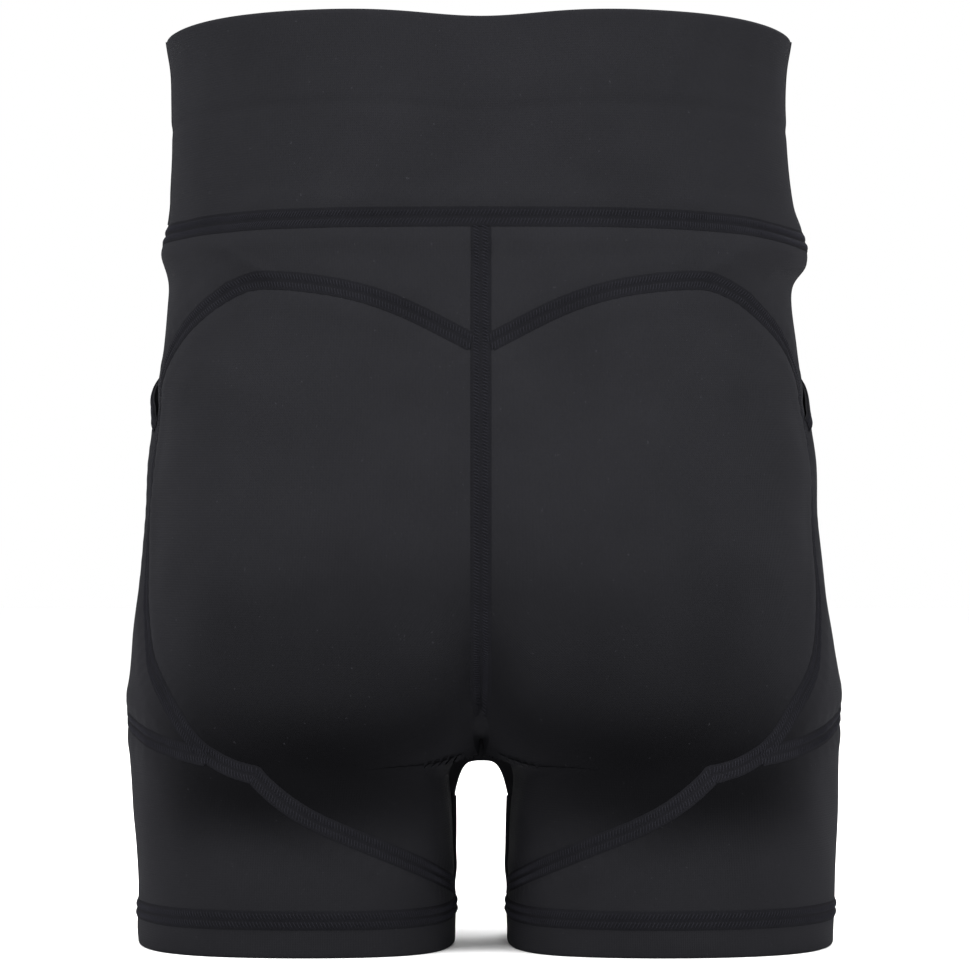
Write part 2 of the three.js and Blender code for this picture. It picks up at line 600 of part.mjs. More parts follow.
for (const side of [1, -1]) {
  const which = sideName(side);

  const lens = ruled(centreEdge, seatEdge, CENTRE_GAP, PANEL_GAP);
  panel(`seat_panel_${which}`, jersey, side, PANEL_COLUMNS, seamRows,
    (s, t) => lens(s, clamp(t, LENS_TIP, 1 - LENS_TIP)), level(0), level(-FABRIC));

  const yokeLow = stretches([
    (t) => seatTopEdge(Math.max(t, YOKE_TIP)),
    (t) => {
      const round = lerp(mouthBack[0], mouthFront[0] - roundGap, t);
      return [round, pocketMouth(round)];
    },
  ], [SEAM_FACETS[0], MOUTH_FACETS]);
  const yoke = ruled(yokeLow, (t) => [yokeLow(t)[0], waistSeam(yokeLow(t)[0])], PANEL_GAP, PANEL_GAP);
  panel(`back_yoke_${which}`, jersey, side, YOKE_FACETS, SEAM_FACETS[0] + MOUTH_FACETS, yoke,
    level(0), level(-FABRIC));

  const pocket = ruled(pocketBackEdge, pocketFrontEdge, PANEL_GAP, PANEL_GAP);
  const pocketPlace = (s, t) => pocket(s, clamp(t, POCKET_TIP, 1 - POCKET_TIP));
  panel(`pocket_panel_${which}`, jersey, side, PANEL_COLUMNS, SEAM_FACETS[1], pocketPlace,
    (s, t) => pocketLift(...pocketPlace(s, t)), (s, t) => pocketLift(...pocketPlace(s, t)) - FABRIC);
  const backingPlace = (s, t) => {
    const [round, height] = pocketPlace(s, t);
    return [round, height + POCKET_OVERLAP * (1 - t) ** 2];
  };
  const backingOffset = (s, t) => -FABRIC - LAYER_GAP - pocketDish(...backingPlace(s, t));
  panel(`pocket_backing_${which}`, liningKnit, side, PANEL_COLUMNS, SEAM_FACETS[1], backingPlace,
    backingOffset, (s, t) => backingOffset(s, t) - LINING);

  const legHigh = stretches([
    (t) => seatLowEdge(1 - Math.max(t, LEG_TIP)),
    (t) => {
      const round = lerp(baseBack[0], baseFront[0] - roundGap, t);
      return [round, pocketBase(round)];
    },
  ], [SEAM_FACETS[2], BASE_FACETS]);
  const leg = (s, t) => {
    const [round, top] = legHigh(t);
    const height = s * (top - LEG_TOP_GAP);
    const forkTop = round < 0 ? CLEFT_TOP : FRONT_FORK_TOP;
    return [(round * turnAt(top, forkTop)) / turnAt(height, forkTop), height];
  };
  panel(`leg_panel_${which}`, jersey, side, LEG_FACETS + 1, SEAM_FACETS[2] + BASE_FACETS, leg,
    level(0), level(-FABRIC));

  const front = ruled(
    (t) => [frontSeamRound(frontSeamHeights(t)), frontSeamHeights(t)],
    (t) => [gussetEdge(centreFrontHeights(t), false), centreFrontHeights(t)],
    PANEL_GAP, CENTRE_GAP,
  );
  panel(`front_panel_${which}`, jersey, side, FRONT_COLUMNS, sum(frontFacets), front,
    level(0), level(-FABRIC));

  const hemOuter = -FABRIC - LAYER_GAP - FLARE_GAP;
  const legRing = (low, high) => (s, t) => [lerp(-1, 1, s), lerp(low, high, t)];
  panel(`leg_hem_${which}`, jersey, side, HEM_COLUMNS, HEM_ROWS, legRing(0, HEM_HEIGHT),
    level(hemOuter), level(hemOuter - HEM_THICKNESS), true);
  panel(`hem_stitching_${which}`, seamTape, side, HEM_STITCH_COLUMNS, 1,
    legRing(HEM_STITCH_LOW, HEM_STITCH_HIGH), level(SEAM_GAP + SEAM_THICKNESS), level(SEAM_GAP), true);

  seamBand(`seat_seam_${which}`, side,
    trimmed(wholeSeatSeam, CENTRE_SEAM_HALF_WIDTH + SEAM_HALF_WIDTH, SEAT_SEAM_END_GAP),
    SEAM_HALF_WIDTH, SEAM_STEP);
  seamBand(`pocket_base_seam_${which}`, side,
    trimmed(pocketBaseLine, SEAM_HALF_WIDTH * 4, SEAM_HALF_WIDTH * 2),
    SEAM_HALF_WIDTH, SEAM_STEP);
  seamBand(`pocket_mouth_hem_${which}`, side,
    trimmed(pocketMouthLine, SEAM_HALF_WIDTH * 2.4, SEAM_HALF_WIDTH * 2),
    MOUTH_HEM_HALF_WIDTH, MOUTH_HEM_STEP, pocketLift);
  seamBand(`front_side_seam_${which}`, side,
    trimmed(frontSeamLine, SEAM_HALF_WIDTH * 2, SEAM_CLEARANCE), SEAM_HALF_WIDTH, SEAM_STEP);

  const inseamTop = GUSSET_LOW - SEAM_CLEARANCE;
  const inseamLow = HEM_STITCH_HIGH + SEAM_CLEARANCE;
  panel(`inseam_${which}`, seamTape, side, 4, 2, (s, t) => {
    const height = lerp(inseamLow, inseamTop, s);
    const across = lerp(-1, 1, t) * INSEAM_HALF_WIDTH;
    const end = across <= 0 ? -1 : 1;
    return [end - across / bodyTangents(end, height)[0].length(), height];
  }, level(SEAM_GAP + SEAM_THICKNESS), level(SEAM_GAP));

  panel(`waistband_side_seam_${which}`, seamTape, side, 2, 5, (s, t) => {
    const across = lerp(-BAND_SEAM_HALF_WIDTH, BAND_SEAM_HALF_WIDTH, s);
    const height = lerp(waistSeam(0) + SEAM_HALF_WIDTH + SEAM_CLEARANCE, topEdge(0) - SEAM_CLEARANCE, t);
    return [across / bodyTangents(0, height)[0].length(), height];
  }, level(SEAM_GAP + SEAM_THICKNESS), level(SEAM_GAP));
}

// ---- Impact pads ----
// A pad lies between the shell and an inner sleeve, and pulls up and inwards out of the sleeve's open top.
// Its own directions are across (level, along the shell), out (level, away from the body) and up.
function padPlace(spec, outOf, inside) {
  const step = (spec.high - spec.low) / PAD_ROWS;
  const travelRows = PAD_ROWS + 1;
  const cache = new Map();
  const shellOut = (across, row) => {
    const height = spec.low + row * step;
    const key = Math.round(row * 1000);
    if (!cache.has(key)) cache.set(key, outOf(height, inside(height)));
    const samples = cache.get(key);
    let i = 0;
    while (i < samples.length - 2 && samples[i + 1][0] < across) i += 1;
    const share = (across - samples[i][0]) / (samples[i + 1][0] - samples[i][0]);
    return lerp(samples[i][1], samples[i + 1][1], share);
  };
  // The outermost place from which the pad can rise along its slide without meeting the shell.
  const outer = (across, row) => {
    let best = Infinity;
    for (let k = 0; k <= travelRows; k += 1) {
      best = Math.min(best, shellOut(across, row + k) + spec.lean * k * step);
    }
    return best - PAD_CLEARANCE;
  };
  // The outermost place of a sleeve that no part of the pad meets on its way up.
  const sleeve = (across, row) => {
    let best = Infinity;
    for (let k = 0; k <= row + 1e-6; k += 1) {
      const pad = outer(across, row - k) - spec.thickness;
      best = Math.min(best, pad - spec.lean * k * step);
    }
    return best - SLEEVE_CLEARANCE;
  };
  return { step, shellOut, outer, sleeve };
}

// Half the pad's width at a row, drawn in at its round corners.
function padHalfWidth(spec, row, step) {
  const fromEnd = Math.min(row, PAD_ROWS - row) * step;
  const short = clamp(1 - fromEnd / spec.corner, 0, 1);
  return spec.halfWidth - spec.corner * (1 - Math.sqrt(1 - short * short));
}

function impactPad(name, spec, outOf, inside, toWorld) {
  const place = padPlace(spec, outOf, inside);
  const world = (across, out, row) => toWorld(across, out, spec.low + row * place.step);
  const bevel = (s, t) => {
    const near = (share) => THREE.MathUtils.smoothstep(1 - Math.abs(lerp(-1, 1, share)), 0, PAD_EDGE_RUN);
    return PAD_EDGE * (1 - near(s) * near(t));
  };
  const sheetAt = (s, t, depthOuter, depthInner) => {
    const row = t * PAD_ROWS;
    const across = lerp(-1, 1, s) * padHalfWidth(spec, row, place.step);
    const face = place.outer(across, row);
    return [world(across, face - depthOuter, row), world(across, face - depthInner, row)];
  };
  closedSheet(`${name}_foam`, foam, PAD_COLUMNS, PAD_ROWS, (s, t) =>
    sheetAt(s, t, bevel(s, t), spec.thickness - PAD_BACKING - LAYER_GAP));
  closedSheet(`${name}_backing`, liningKnit, PAD_COLUMNS, PAD_ROWS, (s, t) =>
    sheetAt(s, t, spec.thickness - PAD_BACKING, spec.thickness));

  const bedHalf = spec.halfWidth + PAD_CLEARANCE;
  const columns = [-bedHalf - SLEEVE_RIM, -bedHalf];
  for (let i = 0; i <= SLEEVE_COLUMNS; i += 1) {
    columns.push(lerp(-1, 1, i / SLEEVE_COLUMNS) * (bedHalf - SLEEVE_STEP));
  }
  columns.push(bedHalf, bedHalf + SLEEVE_RIM);
  const bedLow = -PAD_CLEARANCE / place.step;
  const rows = [bedLow - SLEEVE_RIM / place.step, bedLow, bedLow + SLEEVE_STEP / place.step];
  for (let row = 1; row <= PAD_ROWS - SLEEVE_GRIP_ROWS; row += 1) rows.push(row);
  closedSheet(`${name}_sleeve`, meshKnit, columns.length - 1, rows.length - 1, (s, t) => {
    const i = Math.round(s * (columns.length - 1));
    const j = Math.round(t * (rows.length - 1));
    const onRim = i < 2 || i > columns.length - 3 || j < 2;
    const bed = place.sleeve(columns[i], Math.max(rows[j], 0));
    const out = onRim ? place.shellOut(columns[i], rows[j]) - LAYER_GAP : bed;
    return [world(columns[i], out, rows[j]), world(columns[i], bed - SLEEVE, rows[j])];
  });
}

const insideBand = liningOuter - LINING;
const insidePocket = -FABRIC - LAYER_GAP - POCKET_DISH - LINING;
for (const side of [1, -1]) {
  impactPad(`hip_pad_${sideName(side)}`, HIP_PAD,
    (height, offset) => Array.from({ length: SHELL_SAMPLES + 1 }, (_, i) => {
      const point = atOffset(1, lerp(-HIP_ROUND_REACH, HIP_ROUND_REACH, i / SHELL_SAMPLES), height, offset);
      return [point.y, point.x];
    }),
    (height) => (height < WAIST_SEAM_HEIGHT - SEAM_HALF_WIDTH ? insidePocket : insideBand),
    (across, out, height) => new THREE.Vector3(side * out, across, height));
}
impactPad("tailbone_pad", TAILBONE_PAD,
  (height, offset) => Array.from({ length: SHELL_SAMPLES + 1 }, (_, i) => {
    const turn = lerp(-1, 1, i / SHELL_SAMPLES) * TAILBONE_ROUND_REACH;
    const point = atOffset(turn < 0 ? -1 : 1, -1 + Math.abs(turn), height, offset);
    return [point.x, -point.y];
  }),
  (height) => (height < WAIST_SEAM_HEIGHT - SEAM_HALF_WIDTH ? -FABRIC : insideBand),
  (across, out, height) => new THREE.Vector3(across, -out, height));

// The origin is the middle of the footprint.
const box = new THREE.Box3().setFromObject(shorts);
shorts.position.y = -(box.min.y + box.max.y) / 2;

export default shorts;
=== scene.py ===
"""Padded impact shorts: black stretch jersey with flatlock seams, standing on their two hems as if worn.

Lengths in the shape functions are millimetres, and turn to metres when a piece is made. The wearer faces +Y.
A place on the garment is (side, around, height): side is +1 or -1 for the wearer's right or left half, and
around runs from -1 at the centre back over 0 at the outer side to +1 at the centre front.
"""

import math
import bmesh
import bpy
import numpy as np
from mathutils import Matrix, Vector


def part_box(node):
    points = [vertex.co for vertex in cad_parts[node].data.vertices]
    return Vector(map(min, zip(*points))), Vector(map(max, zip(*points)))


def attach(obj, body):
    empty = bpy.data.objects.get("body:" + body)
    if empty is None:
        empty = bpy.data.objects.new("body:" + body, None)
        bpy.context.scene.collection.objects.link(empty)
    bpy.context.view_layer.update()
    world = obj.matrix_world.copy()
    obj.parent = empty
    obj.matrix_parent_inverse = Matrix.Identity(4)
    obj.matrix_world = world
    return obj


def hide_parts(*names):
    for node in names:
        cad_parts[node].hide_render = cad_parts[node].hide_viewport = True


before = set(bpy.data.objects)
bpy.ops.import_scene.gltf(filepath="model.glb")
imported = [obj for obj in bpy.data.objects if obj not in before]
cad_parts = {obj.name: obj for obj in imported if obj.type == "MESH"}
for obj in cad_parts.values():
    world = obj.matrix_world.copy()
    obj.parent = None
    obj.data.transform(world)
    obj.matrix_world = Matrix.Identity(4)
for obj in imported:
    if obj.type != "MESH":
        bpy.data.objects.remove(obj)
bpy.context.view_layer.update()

# ---- Sizes, the same as the frame's ----
TOP, WAIST, CROTCH = 422.5, 329.0, 82.0
GUSSET_LOW, GUSSET_HIGH, GUSSET_HALF = 68.0, 100.0, 14.0
SEAM_HALF, CENTRE_HALF, HEM_MIDDLE = 4.2, 4.6, 17.0
CROTCH_REACH = 18.0
JERSEY, LINING = 1.2, 0.8
FOLD_SHIFT = 8.0094
FRONT_ANGLE = math.pi / 4
MOUTH_FRONT, BASE_FRONT = 290.0, 131.0
SEAT_SEAM = np.array([
    (-1, 271), (-.867, 288), (-.752, 297), (-.611, 301), (-.507, 299.4), (-.356, 287), (-.183, 267),
    (-.1, 238), (-.122, 191), (-.172, 163), (-.254, 134), (-.362, 112), (-.405, 89), (-.497, 66),
    (-.62, 50), (-.78, 36.5), (-1, 25.5),
])
MOUTH_SHARE, BASE_SHARE = 7 / 16, 12 / 16
RIGHT_WIDTH = [
    (0, 162), (17, 162.4), (44, 163), (63, 163.8), (81, 164.2), (100, 164.2), (112, 164.8), (120, 164.2),
    (136, 161), (164, 157.1), (192, 153.8), (219, 152.4), (238, 149), (247, 147.4), (256, 147.4), (274, 145.1),
    (293, 142.9), (302, 143.6), (311, 148.4), (319, 149.6), (326, 147.4), (333, 144.6), (345, 142.6),
    (365, 140.6), (385, 139.8), (400, 140.4), (412, 142.2), (422.5, 143.8),
]
LEFT_WIDTH = [
    (0, 157.4), (17, 157.6), (44, 158.2), (63, 160), (81, 161), (100, 161.6), (112, 162.4), (120, 161.6),
    (136, 159.2), (164, 156.1), (192, 153.3), (219, 151.6), (238, 148.8), (247, 148.2), (256, 148.6),
    (274, 146.3), (293, 144.2), (302, 143.8), (311, 145.6), (319, 147), (326, 145.6), (333, 143),
    (345, 142.6), (365, 142), (385, 142.2), (400, 142.6), (412, 144.4), (422.5, 146),
]
BACK_DEPTH = [(0, 84), (82, 95.6), (131.4, 108.07), (190.7, 113), (250, 105.98), (329, 91.13), (422.5, 86)]
CLEFT_DEPTH = [
    (0, 0), (84, 8), (105, 15), (130, 15), (150, 10), (168, 4), (180, 0.8), (190, 0.2), (320, 0),
]
FRONT_DEPTH = [(0, 80), (82, 85.95), (156.1, 92.92), (242.6, 97), (329, 92.5), (422.5, 88)]


# ---- The body surface ----
def smooth_through(stations, height):
    """A curve through (height, value) stations: on each span a cubic whose slope at a station is the slope of
    the line between the stations on both sides of it."""
    at, value = np.asarray(stations, float).T
    slope = np.gradient(value, at)
    slope[1:-1] = (value[2:] - value[:-2]) / (at[2:] - at[:-2])
    i = np.clip(np.searchsorted(at, height) - 1, 0, len(at) - 2)
    span = at[i + 1] - at[i]
    t = np.clip((height - at[i]) / span, 0, 1)
    rise = (1 + 2 * t) * (1 - t) ** 2 * value[i] + t * (1 - t) ** 2 * span * slope[i]
    return rise + t * t * (3 - 2 * t) * value[i + 1] + t * t * (t - 1) * span * slope[i + 1]


def ease(x):
    """0 below 0, 1 above 1, and a smooth cubic between."""
    x = np.clip(x, 0, 1)
    return x * x * (3 - 2 * x)


def bump(x, width):
    """A bell of height 1: e to the minus square of x over width."""
    return np.exp(-((x / width) ** 2))


def fork_turn(height, back):
    """How far a half section turns: a quarter turn on the trunk and half a turn on a leg."""
    share = np.clip((height - CROTCH) / (np.where(back, 165.0, 140.0) - CROTCH), 0, 1)
    return math.pi - math.pi / 2 * np.sin(math.pi / 2 * share**0.7)


def turned_body(side, angle, height):
    """A squarish ellipse section for each height. Its x starts at the half width and reaches the middle line,
    or the inner side of the leg, at the end of its turn; its y is the depth times the turned sine. The angle
    is negative round the back."""
    back = angle < 0
    turn = fork_turn(height, back)
    angle = np.abs(angle)
    width = np.where(side > 0, smooth_through(RIGHT_WIDTH, height), smooth_through(LEFT_WIDTH, height))
    arch = np.clip((CROTCH - height) / 12, 0, 1)
    gap = 12 * (1 - (1 - arch) ** 4) ** 0.25
    across = lambda a: np.cos(a) * (1 + 0.12 * np.sin(a) ** 2)
    reach = width / (1 - across(turn))
    inner = ease((np.abs(angle) / turn - 0.55) / 0.45)
    depth = np.where(back, -smooth_through(BACK_DEPTH, height), smooth_through(FRONT_DEPTH, height))
    x = width - reach * (1 - across(angle)) + gap * inner
    y = depth * np.sin(angle) * (1 + 0.12 * np.cos(angle) ** 2)
    return np.stack(np.broadcast_arrays(x, y, height), -1).astype(float)


def turned(around, height):
    """The angle of a place that is a share of the way round, from -1 at the centre back to 1 at the front."""
    return around * fork_turn(height, around < 0)


def half_body(side, around, height):
    return turned_body(side, turned(around, height), height)


def tangents(side, angle, height):
    """The surface's two directions, round it and up it, from points a little to each side."""
    along = turned_body(side, angle + 0.003, height) - turned_body(side, angle - 0.003, height)
    up = turned_body(side, angle, height + 0.5) - turned_body(side, angle, height - 0.5)
    return along / 0.006, up


def unit(v):
    return v / np.maximum(np.linalg.norm(v, axis=-1, keepdims=True), 1e-9)


# ---- Lines that the panels share ----
def top_edge(around):
    """Level, dipping at the outer sides and a little at the centre."""
    x = half_body(1, around, np.full_like(around, TOP))[..., 0]
    side = np.cos(np.abs(around) * math.pi / 2) ** 4
    return TOP - 7.5 * side - 4 * bump(x, 35)


def waist_seam(side, around):
    """Level, dipping at the outer sides, more on the right."""
    return WAIST - np.where(side > 0, 7.5, 4.5) * np.cos(np.abs(around) * math.pi / 2) ** 4


def seat_seam(t):
    """A Catmull-Rom curve through the seam's stations."""
    last = len(SEAT_SEAM) - 1
    p = np.clip(t, 0, 1) * last
    i = np.minimum(p.astype(int), last - 1)
    w = (p - i)[..., None]
    a, b, c, d = (SEAT_SEAM[np.clip(i + k, 0, last)] for k in (-1, 0, 1, 2))
    v, u = (c - a) / 2, (d - b) / 2
    out = (2 * b - 2 * c + v + u) * w**3 + (-3 * b + 3 * c - 2 * v - u) * w**2 + v * w + b
    out[..., 0] = np.clip(out[..., 0], -1, 0)
    return out


def front_seam(height):
    """The front side seam keeps one angle from the outer side down the trunk and the leg."""
    return FRONT_ANGLE / fork_turn(height, False)


def straight(start, end):
    """A path straight between two places in (around, height)."""
    return lambda t: np.stack([start[k] + (end[k] - start[k]) * t for k in (0, 1)], -1)


mouth_back, base_back = seat_seam(np.array([MOUTH_SHARE, BASE_SHARE]))
mouth_front = np.array([front_seam(np.array(MOUTH_FRONT)), MOUTH_FRONT])
base_front = np.array([front_seam(np.array(BASE_FRONT)), BASE_FRONT])
pocket_mouth = lambda around: np.interp(around, *np.stack([mouth_back, mouth_front], -1))
pocket_base = lambda around: np.interp(around, *np.stack([base_back, base_front], -1))


def even_path(path, count, start=0.0, end=1.0, trim=(0, 0)):
    """count places at an even pace along a path's length on the body, stopping trim short of its ends, and the
    length to each."""
    fine = path(np.linspace(start, end, 900))
    steps = np.linalg.norm(np.diff(half_body(1, fine[:, 0], fine[:, 1]), axis=0), axis=1)
    length = np.concatenate([[0], np.cumsum(steps)])
    wanted = np.linspace(trim[0], length[-1] - trim[1], count)
    return np.stack([np.interp(wanted, length, fine[:, k]) for k in (0, 1)], -1), wanted


def path_length(path, start=0.0, end=1.0):
    return even_path(path, 2, start, end)[1][-1]


SEAT_LINE = even_path(seat_seam, 500)[0]
BASE_LINE = even_path(straight(base_back, base_front), 160)[0]
FRONT_HEIGHTS = np.linspace(WAIST, 21, 260)
FRONT_LINE = np.stack([front_seam(FRONT_HEIGHTS), FRONT_HEIGHTS], -1)
FIELD_ANGLE, FIELD_HEIGHT = np.linspace(-math.pi, math.pi, 341), np.linspace(0, 423, 283)


def distance_field(line):
    """For a grid over the whole surface: the distance to the nearest point of a line, and that point's share
    of the way along it."""
    a, h = np.meshgrid(FIELD_ANGLE, FIELD_HEIGHT, indexing="ij")
    places = turned_body(1, a.ravel(), h.ravel()).astype(np.float32)
    marks = half_body(1, line[:, 0], line[:, 1]).astype(np.float32)
    square = (places**2).sum(1)[:, None] + (marks**2).sum(1)[None] - 2 * places @ marks.T
    nearest = square.argmin(1)
    far = np.sqrt(np.maximum(square[np.arange(len(places)), nearest], 0))
    return far.reshape(a.shape), (nearest / (len(line) - 1)).reshape(a.shape)


def look_up(table, angle, height):
    """The field's value between its grid points, by straight lines both ways."""
    i = np.clip((angle / math.pi + 1) / 2 * (len(FIELD_ANGLE) - 1), 0, len(FIELD_ANGLE) - 1.001)
    j = np.clip(height / 423 * (len(FIELD_HEIGHT) - 1), 0, len(FIELD_HEIGHT) - 1.001)
    a, b = i.astype(int), j.astype(int)
    u, v = i - a, j - b
    low = table[a, b] * (1 - u) + table[a + 1, b] * u
    return low * (1 - v) + (table[a, b + 1] * (1 - u) + table[a + 1, b + 1] * u) * v


SEAM_FIELDS = [
    (distance_field(SEAT_LINE), 690), (distance_field(BASE_LINE), 150), (distance_field(FRONT_LINE), 320),
]
waves = np.random.default_rng(11)
WAVE_WAY = waves.normal(size=(3, 14))
WAVE_WAY *= 2 * math.pi / waves.uniform(30, 75, 14) / np.linalg.norm(WAVE_WAY, axis=0)
WAVE_START = waves.uniform(0, 2 * math.pi, 14)


def soft_waves(point):
    """Slow uneven folds: the sum of fourteen sine waves through space in as many directions."""
    return np.sin(point @ WAVE_WAY + WAVE_START).sum(-1) / 14**0.5


def crease(x, z, start, end, width):
    """A bell across the straight line between two (x, z) places, fading out at both of its ends."""
    start, end = np.array(start, float), np.array(end, float)
    way = (end - start) / np.linalg.norm(end - start)
    along = (x - start[0]) * way[0] + (z - start[1]) * way[1]
    off = -(x - start[0]) * way[1] + (z - start[1]) * way[0]
    whole = np.linalg.norm(end - start)
    return bump(off, width) * ease(along / whole * 3 + 0.6) * ease((whole - along) / whole * 3 + 0.6)


def relief(side, angle, height, point):
    """How far the worn cloth stands off the plain body, in mm: valleys and small puckers along each seam, the
    elastic's ridge and crease, the cleft, the folds under the seat, and slow waves."""
    back = np.clip(-angle * 5, 0, 1)
    around = angle / fork_turn(height, angle < 0)
    x = point[..., 0]
    out = np.zeros(np.shape(x))
    for (far, share), length in SEAM_FIELDS:
        d, s = look_up(far, angle, height), look_up(share, angle, height) * length
        out += 0.55 * bump(d - 10, 5) - 0.7 * bump(d, 4.2)
        out += 0.2 * np.exp(-np.abs(d - 7) / 4) * np.sin(s * 2 * math.pi / 8.5 + 1.7 * np.sin(s / 21) + side)
    d = height - waist_seam(side, around)
    out += 0.5 * bump(d - 9, 5) + 0.9 * bump(d + 10, 5) - 0.8 * bump(d, 4.4)
    ripple = np.sin(x / 4.3 + 2.2 * np.sin(x / 23) + side)
    out += 0.22 * np.exp(-np.abs(np.abs(d) - 8) / 5) * ripple
    centre = ease((height - GUSSET_LOW) / 20) * ease((WAIST - height) / 8)
    out += centre * (0.4 * bump(x - 9, 4) - 0.6 * bump(x, 4.6))
    below_top = top_edge(around) - height
    out += 0.25 * ease((43 - below_top) / 6) - 0.3 * bump(below_top - 42, 2.6)
    out += 0.12 * np.sin(x / 1.9) * ease((40 - below_top) / 10) * ease(below_top / 10)
    out -= back * smooth_through(CLEFT_DEPTH, height) * bump(x, 15 + 5 * ease((height - 130) / 40))
    out += back * 3.2 * bump(x - 78, 48) * bump(height - 158, 46)
    fold = 88 + 0.0016 * (x - 60) ** 2
    out -= back * 6.0 * bump(x - 58, 46) * bump(height - fold, 15)
    out += back * 1.8 * bump(x - 70, 52) * bump(height - fold - 24, 15)
    out += back * 1.4 * bump(x - 72, 55) * bump(height - fold + 34, 18)
    worn = side * x
    out += 0.42 * soft_waves(np.stack([worn, point[..., 1], point[..., 2]], -1)) * ease((385 - height) / 60)
    out += back * 1.1 * crease(worn, height, (-116, 317), (-92, 302), 2.6)
    out += back * 0.8 * crease(worn, height, (-128, 312), (-108, 296), 3.2)
    out += back * 0.9 * crease(worn, height, (118, 316), (97, 303), 2.8)
    out += back * 0.7 * crease(worn, height, (132, 306), (112, 290), 3.4)
    out -= back * 0.9 * crease(worn, height, (-9, 322), (-2, 306), 2.4)
    out -= back * 0.7 * crease(worn, height, (10, 322), (3, 308), 2.2)
    return out * ease(height / 14 + 0.25)


def skin(side, around, height, lift=0.0):
    return turned_skin(side, turned(np.asarray(around, float), height), height, lift)


def turned_skin(side, angle, height, lift=0.0):
    """The worn outer surface: the body point moved out by the relief, which keeps to the middle plane at the
    centre lines, and by lift along the surface's normal."""
    side, angle, height, lift = np.broadcast_arrays(side, angle, height, lift)
    side, angle, height, lift = (np.array(v, float) for v in (side, angle, height, lift))
    point = turned_body(side, angle, height)
    normal = unit(np.cross(*tangents(side, angle, height)))
    drift = normal.copy()
    drift[..., 0] *= ease(np.abs(point[..., 0]) / 20)
    point = point + drift * relief(side, angle, height, point)[..., None] + normal * lift[..., None]
    point[..., 2] = np.maximum(point[..., 2], 0)
    point[..., 0] *= side
    point[..., 1] += FOLD_SHIFT
    return point


# ---- Meshes ----
def mesh_object(name, points, corners, map_points=None, map_corners=None):
    """A mesh of four-sided faces from points in millimetres, with a cloth map in metres."""
    mesh = bpy.data.meshes.new(name)
    mesh.from_pydata((np.asarray(points) * 0.001).tolist(), [], np.asarray(corners).tolist())
    if map_points is not None:
        layer = mesh.uv_layers.new(name="cloth")
        flat = np.asarray(map_points)[np.asarray(map_corners).ravel()]
        layer.data.foreach_set("uv", flat.astype(np.float32).ravel())
    mesh.shade_smooth()
    mesh.set_sharp_from_angle(angle=math.radians(48))
    obj = bpy.data.objects.new(name, mesh)
    bpy.context.scene.collection.objects.link(obj)
    return obj


def closed_sheet(name, outer, inner, cloth_map, rings=False):
    """A closed body from two grids of points, outer and inner: their faces, and the walls round their rims.
    With rings the first direction closes on itself."""
    outer, inner = np.asarray(outer), np.asarray(inner)
    columns, rows = outer.shape[:2]
    across = columns if rings else columns - 1
    i, j = np.meshgrid(np.arange(across), np.arange(rows - 1), indexing="ij")
    wide = across + 1
    at = lambda a, b, layer: layer * wide * rows + a * rows + b
    i, j = i.ravel(), j.ravel()
    faces = [np.stack([at(i, j, 0), at(i + 1, j, 0), at(i + 1, j + 1, 0), at(i, j + 1, 0)], -1)]
    faces.append(np.stack([at(i, j, 1), at(i, j + 1, 1), at(i + 1, j + 1, 1), at(i + 1, j, 1)], -1))
    a, top = np.arange(across), rows - 1
    faces.append(np.stack([at(a, 0, 0), at(a, 0, 1), at(a + 1, 0, 1), at(a + 1, 0, 0)], -1))
    faces.append(np.stack([at(a, top, 0), at(a + 1, top, 0), at(a + 1, top, 1), at(a, top, 1)], -1))
    if not rings:
        b, end = np.arange(rows - 1), columns - 1
        faces.append(np.stack([at(0, b, 0), at(0, b + 1, 0), at(0, b + 1, 1), at(0, b, 1)], -1))
        faces.append(np.stack([at(end, b, 0), at(end, b, 1), at(end, b + 1, 1), at(end, b + 1, 0)], -1))
    loose = np.concatenate(faces)
    layer, rest = loose // (wide * rows), loose % (wide * rows)
    corners = layer * columns * rows + (rest // rows % columns) * rows + rest % rows
    points = np.concatenate([outer.reshape(-1, 3), inner.reshape(-1, 3)])
    p = points[corners]
    volume = (np.cross(p[:, 1] - p[:, 0], p[:, 2] - p[:, 0]) * p[:, 0]).sum()
    volume += (np.cross(p[:, 2] - p[:, 0], p[:, 3] - p[:, 0]) * p[:, 0]).sum()
    if volume < 0:
        corners, loose = corners[:, ::-1], loose[:, ::-1]
    cloth_map = np.asarray(cloth_map, float)
    maps = np.concatenate([cloth_map.reshape(-1, 2)] * 2)
    return mesh_object(name, points, corners, maps, loose)


def cloth_map_of(side, angle, height):
    """Metres round and up the cloth, from the outer side."""
    return np.stack(np.broadcast_arrays(np.asarray(side) * angle * 0.1, height * 0.001), -1)


# ---- Materials ----
def linear(hex_colour):
    """An sRGB hex colour as linear light."""
    parts = [int(hex_colour[i : i + 2], 16) / 255 for i in (1, 3, 5)]
    return tuple(c / 12.92 if c <= 0.04045 else ((c + 0.055) / 1.055) ** 2.4 for c in parts) + (1.0,)


def add(tree, kind, links=(), **settings):
    """One node with its settings; links pairs an input with the socket that feeds it, and a value input is set
    by its number."""
    node = tree.nodes.new(kind)
    for key, value in settings.items():
        setattr(node, key, value)
    for socket, source in links:
        if isinstance(source, bpy.types.NodeSocket):
            tree.links.new(source, node.inputs[socket])
        else:
            node.inputs[socket].default_value = source
    return node


def sums(tree, operation, a, b=0.0):
    return add(tree, "ShaderNodeMath", [(0, a), (1, b)], operation=operation).outputs[0]


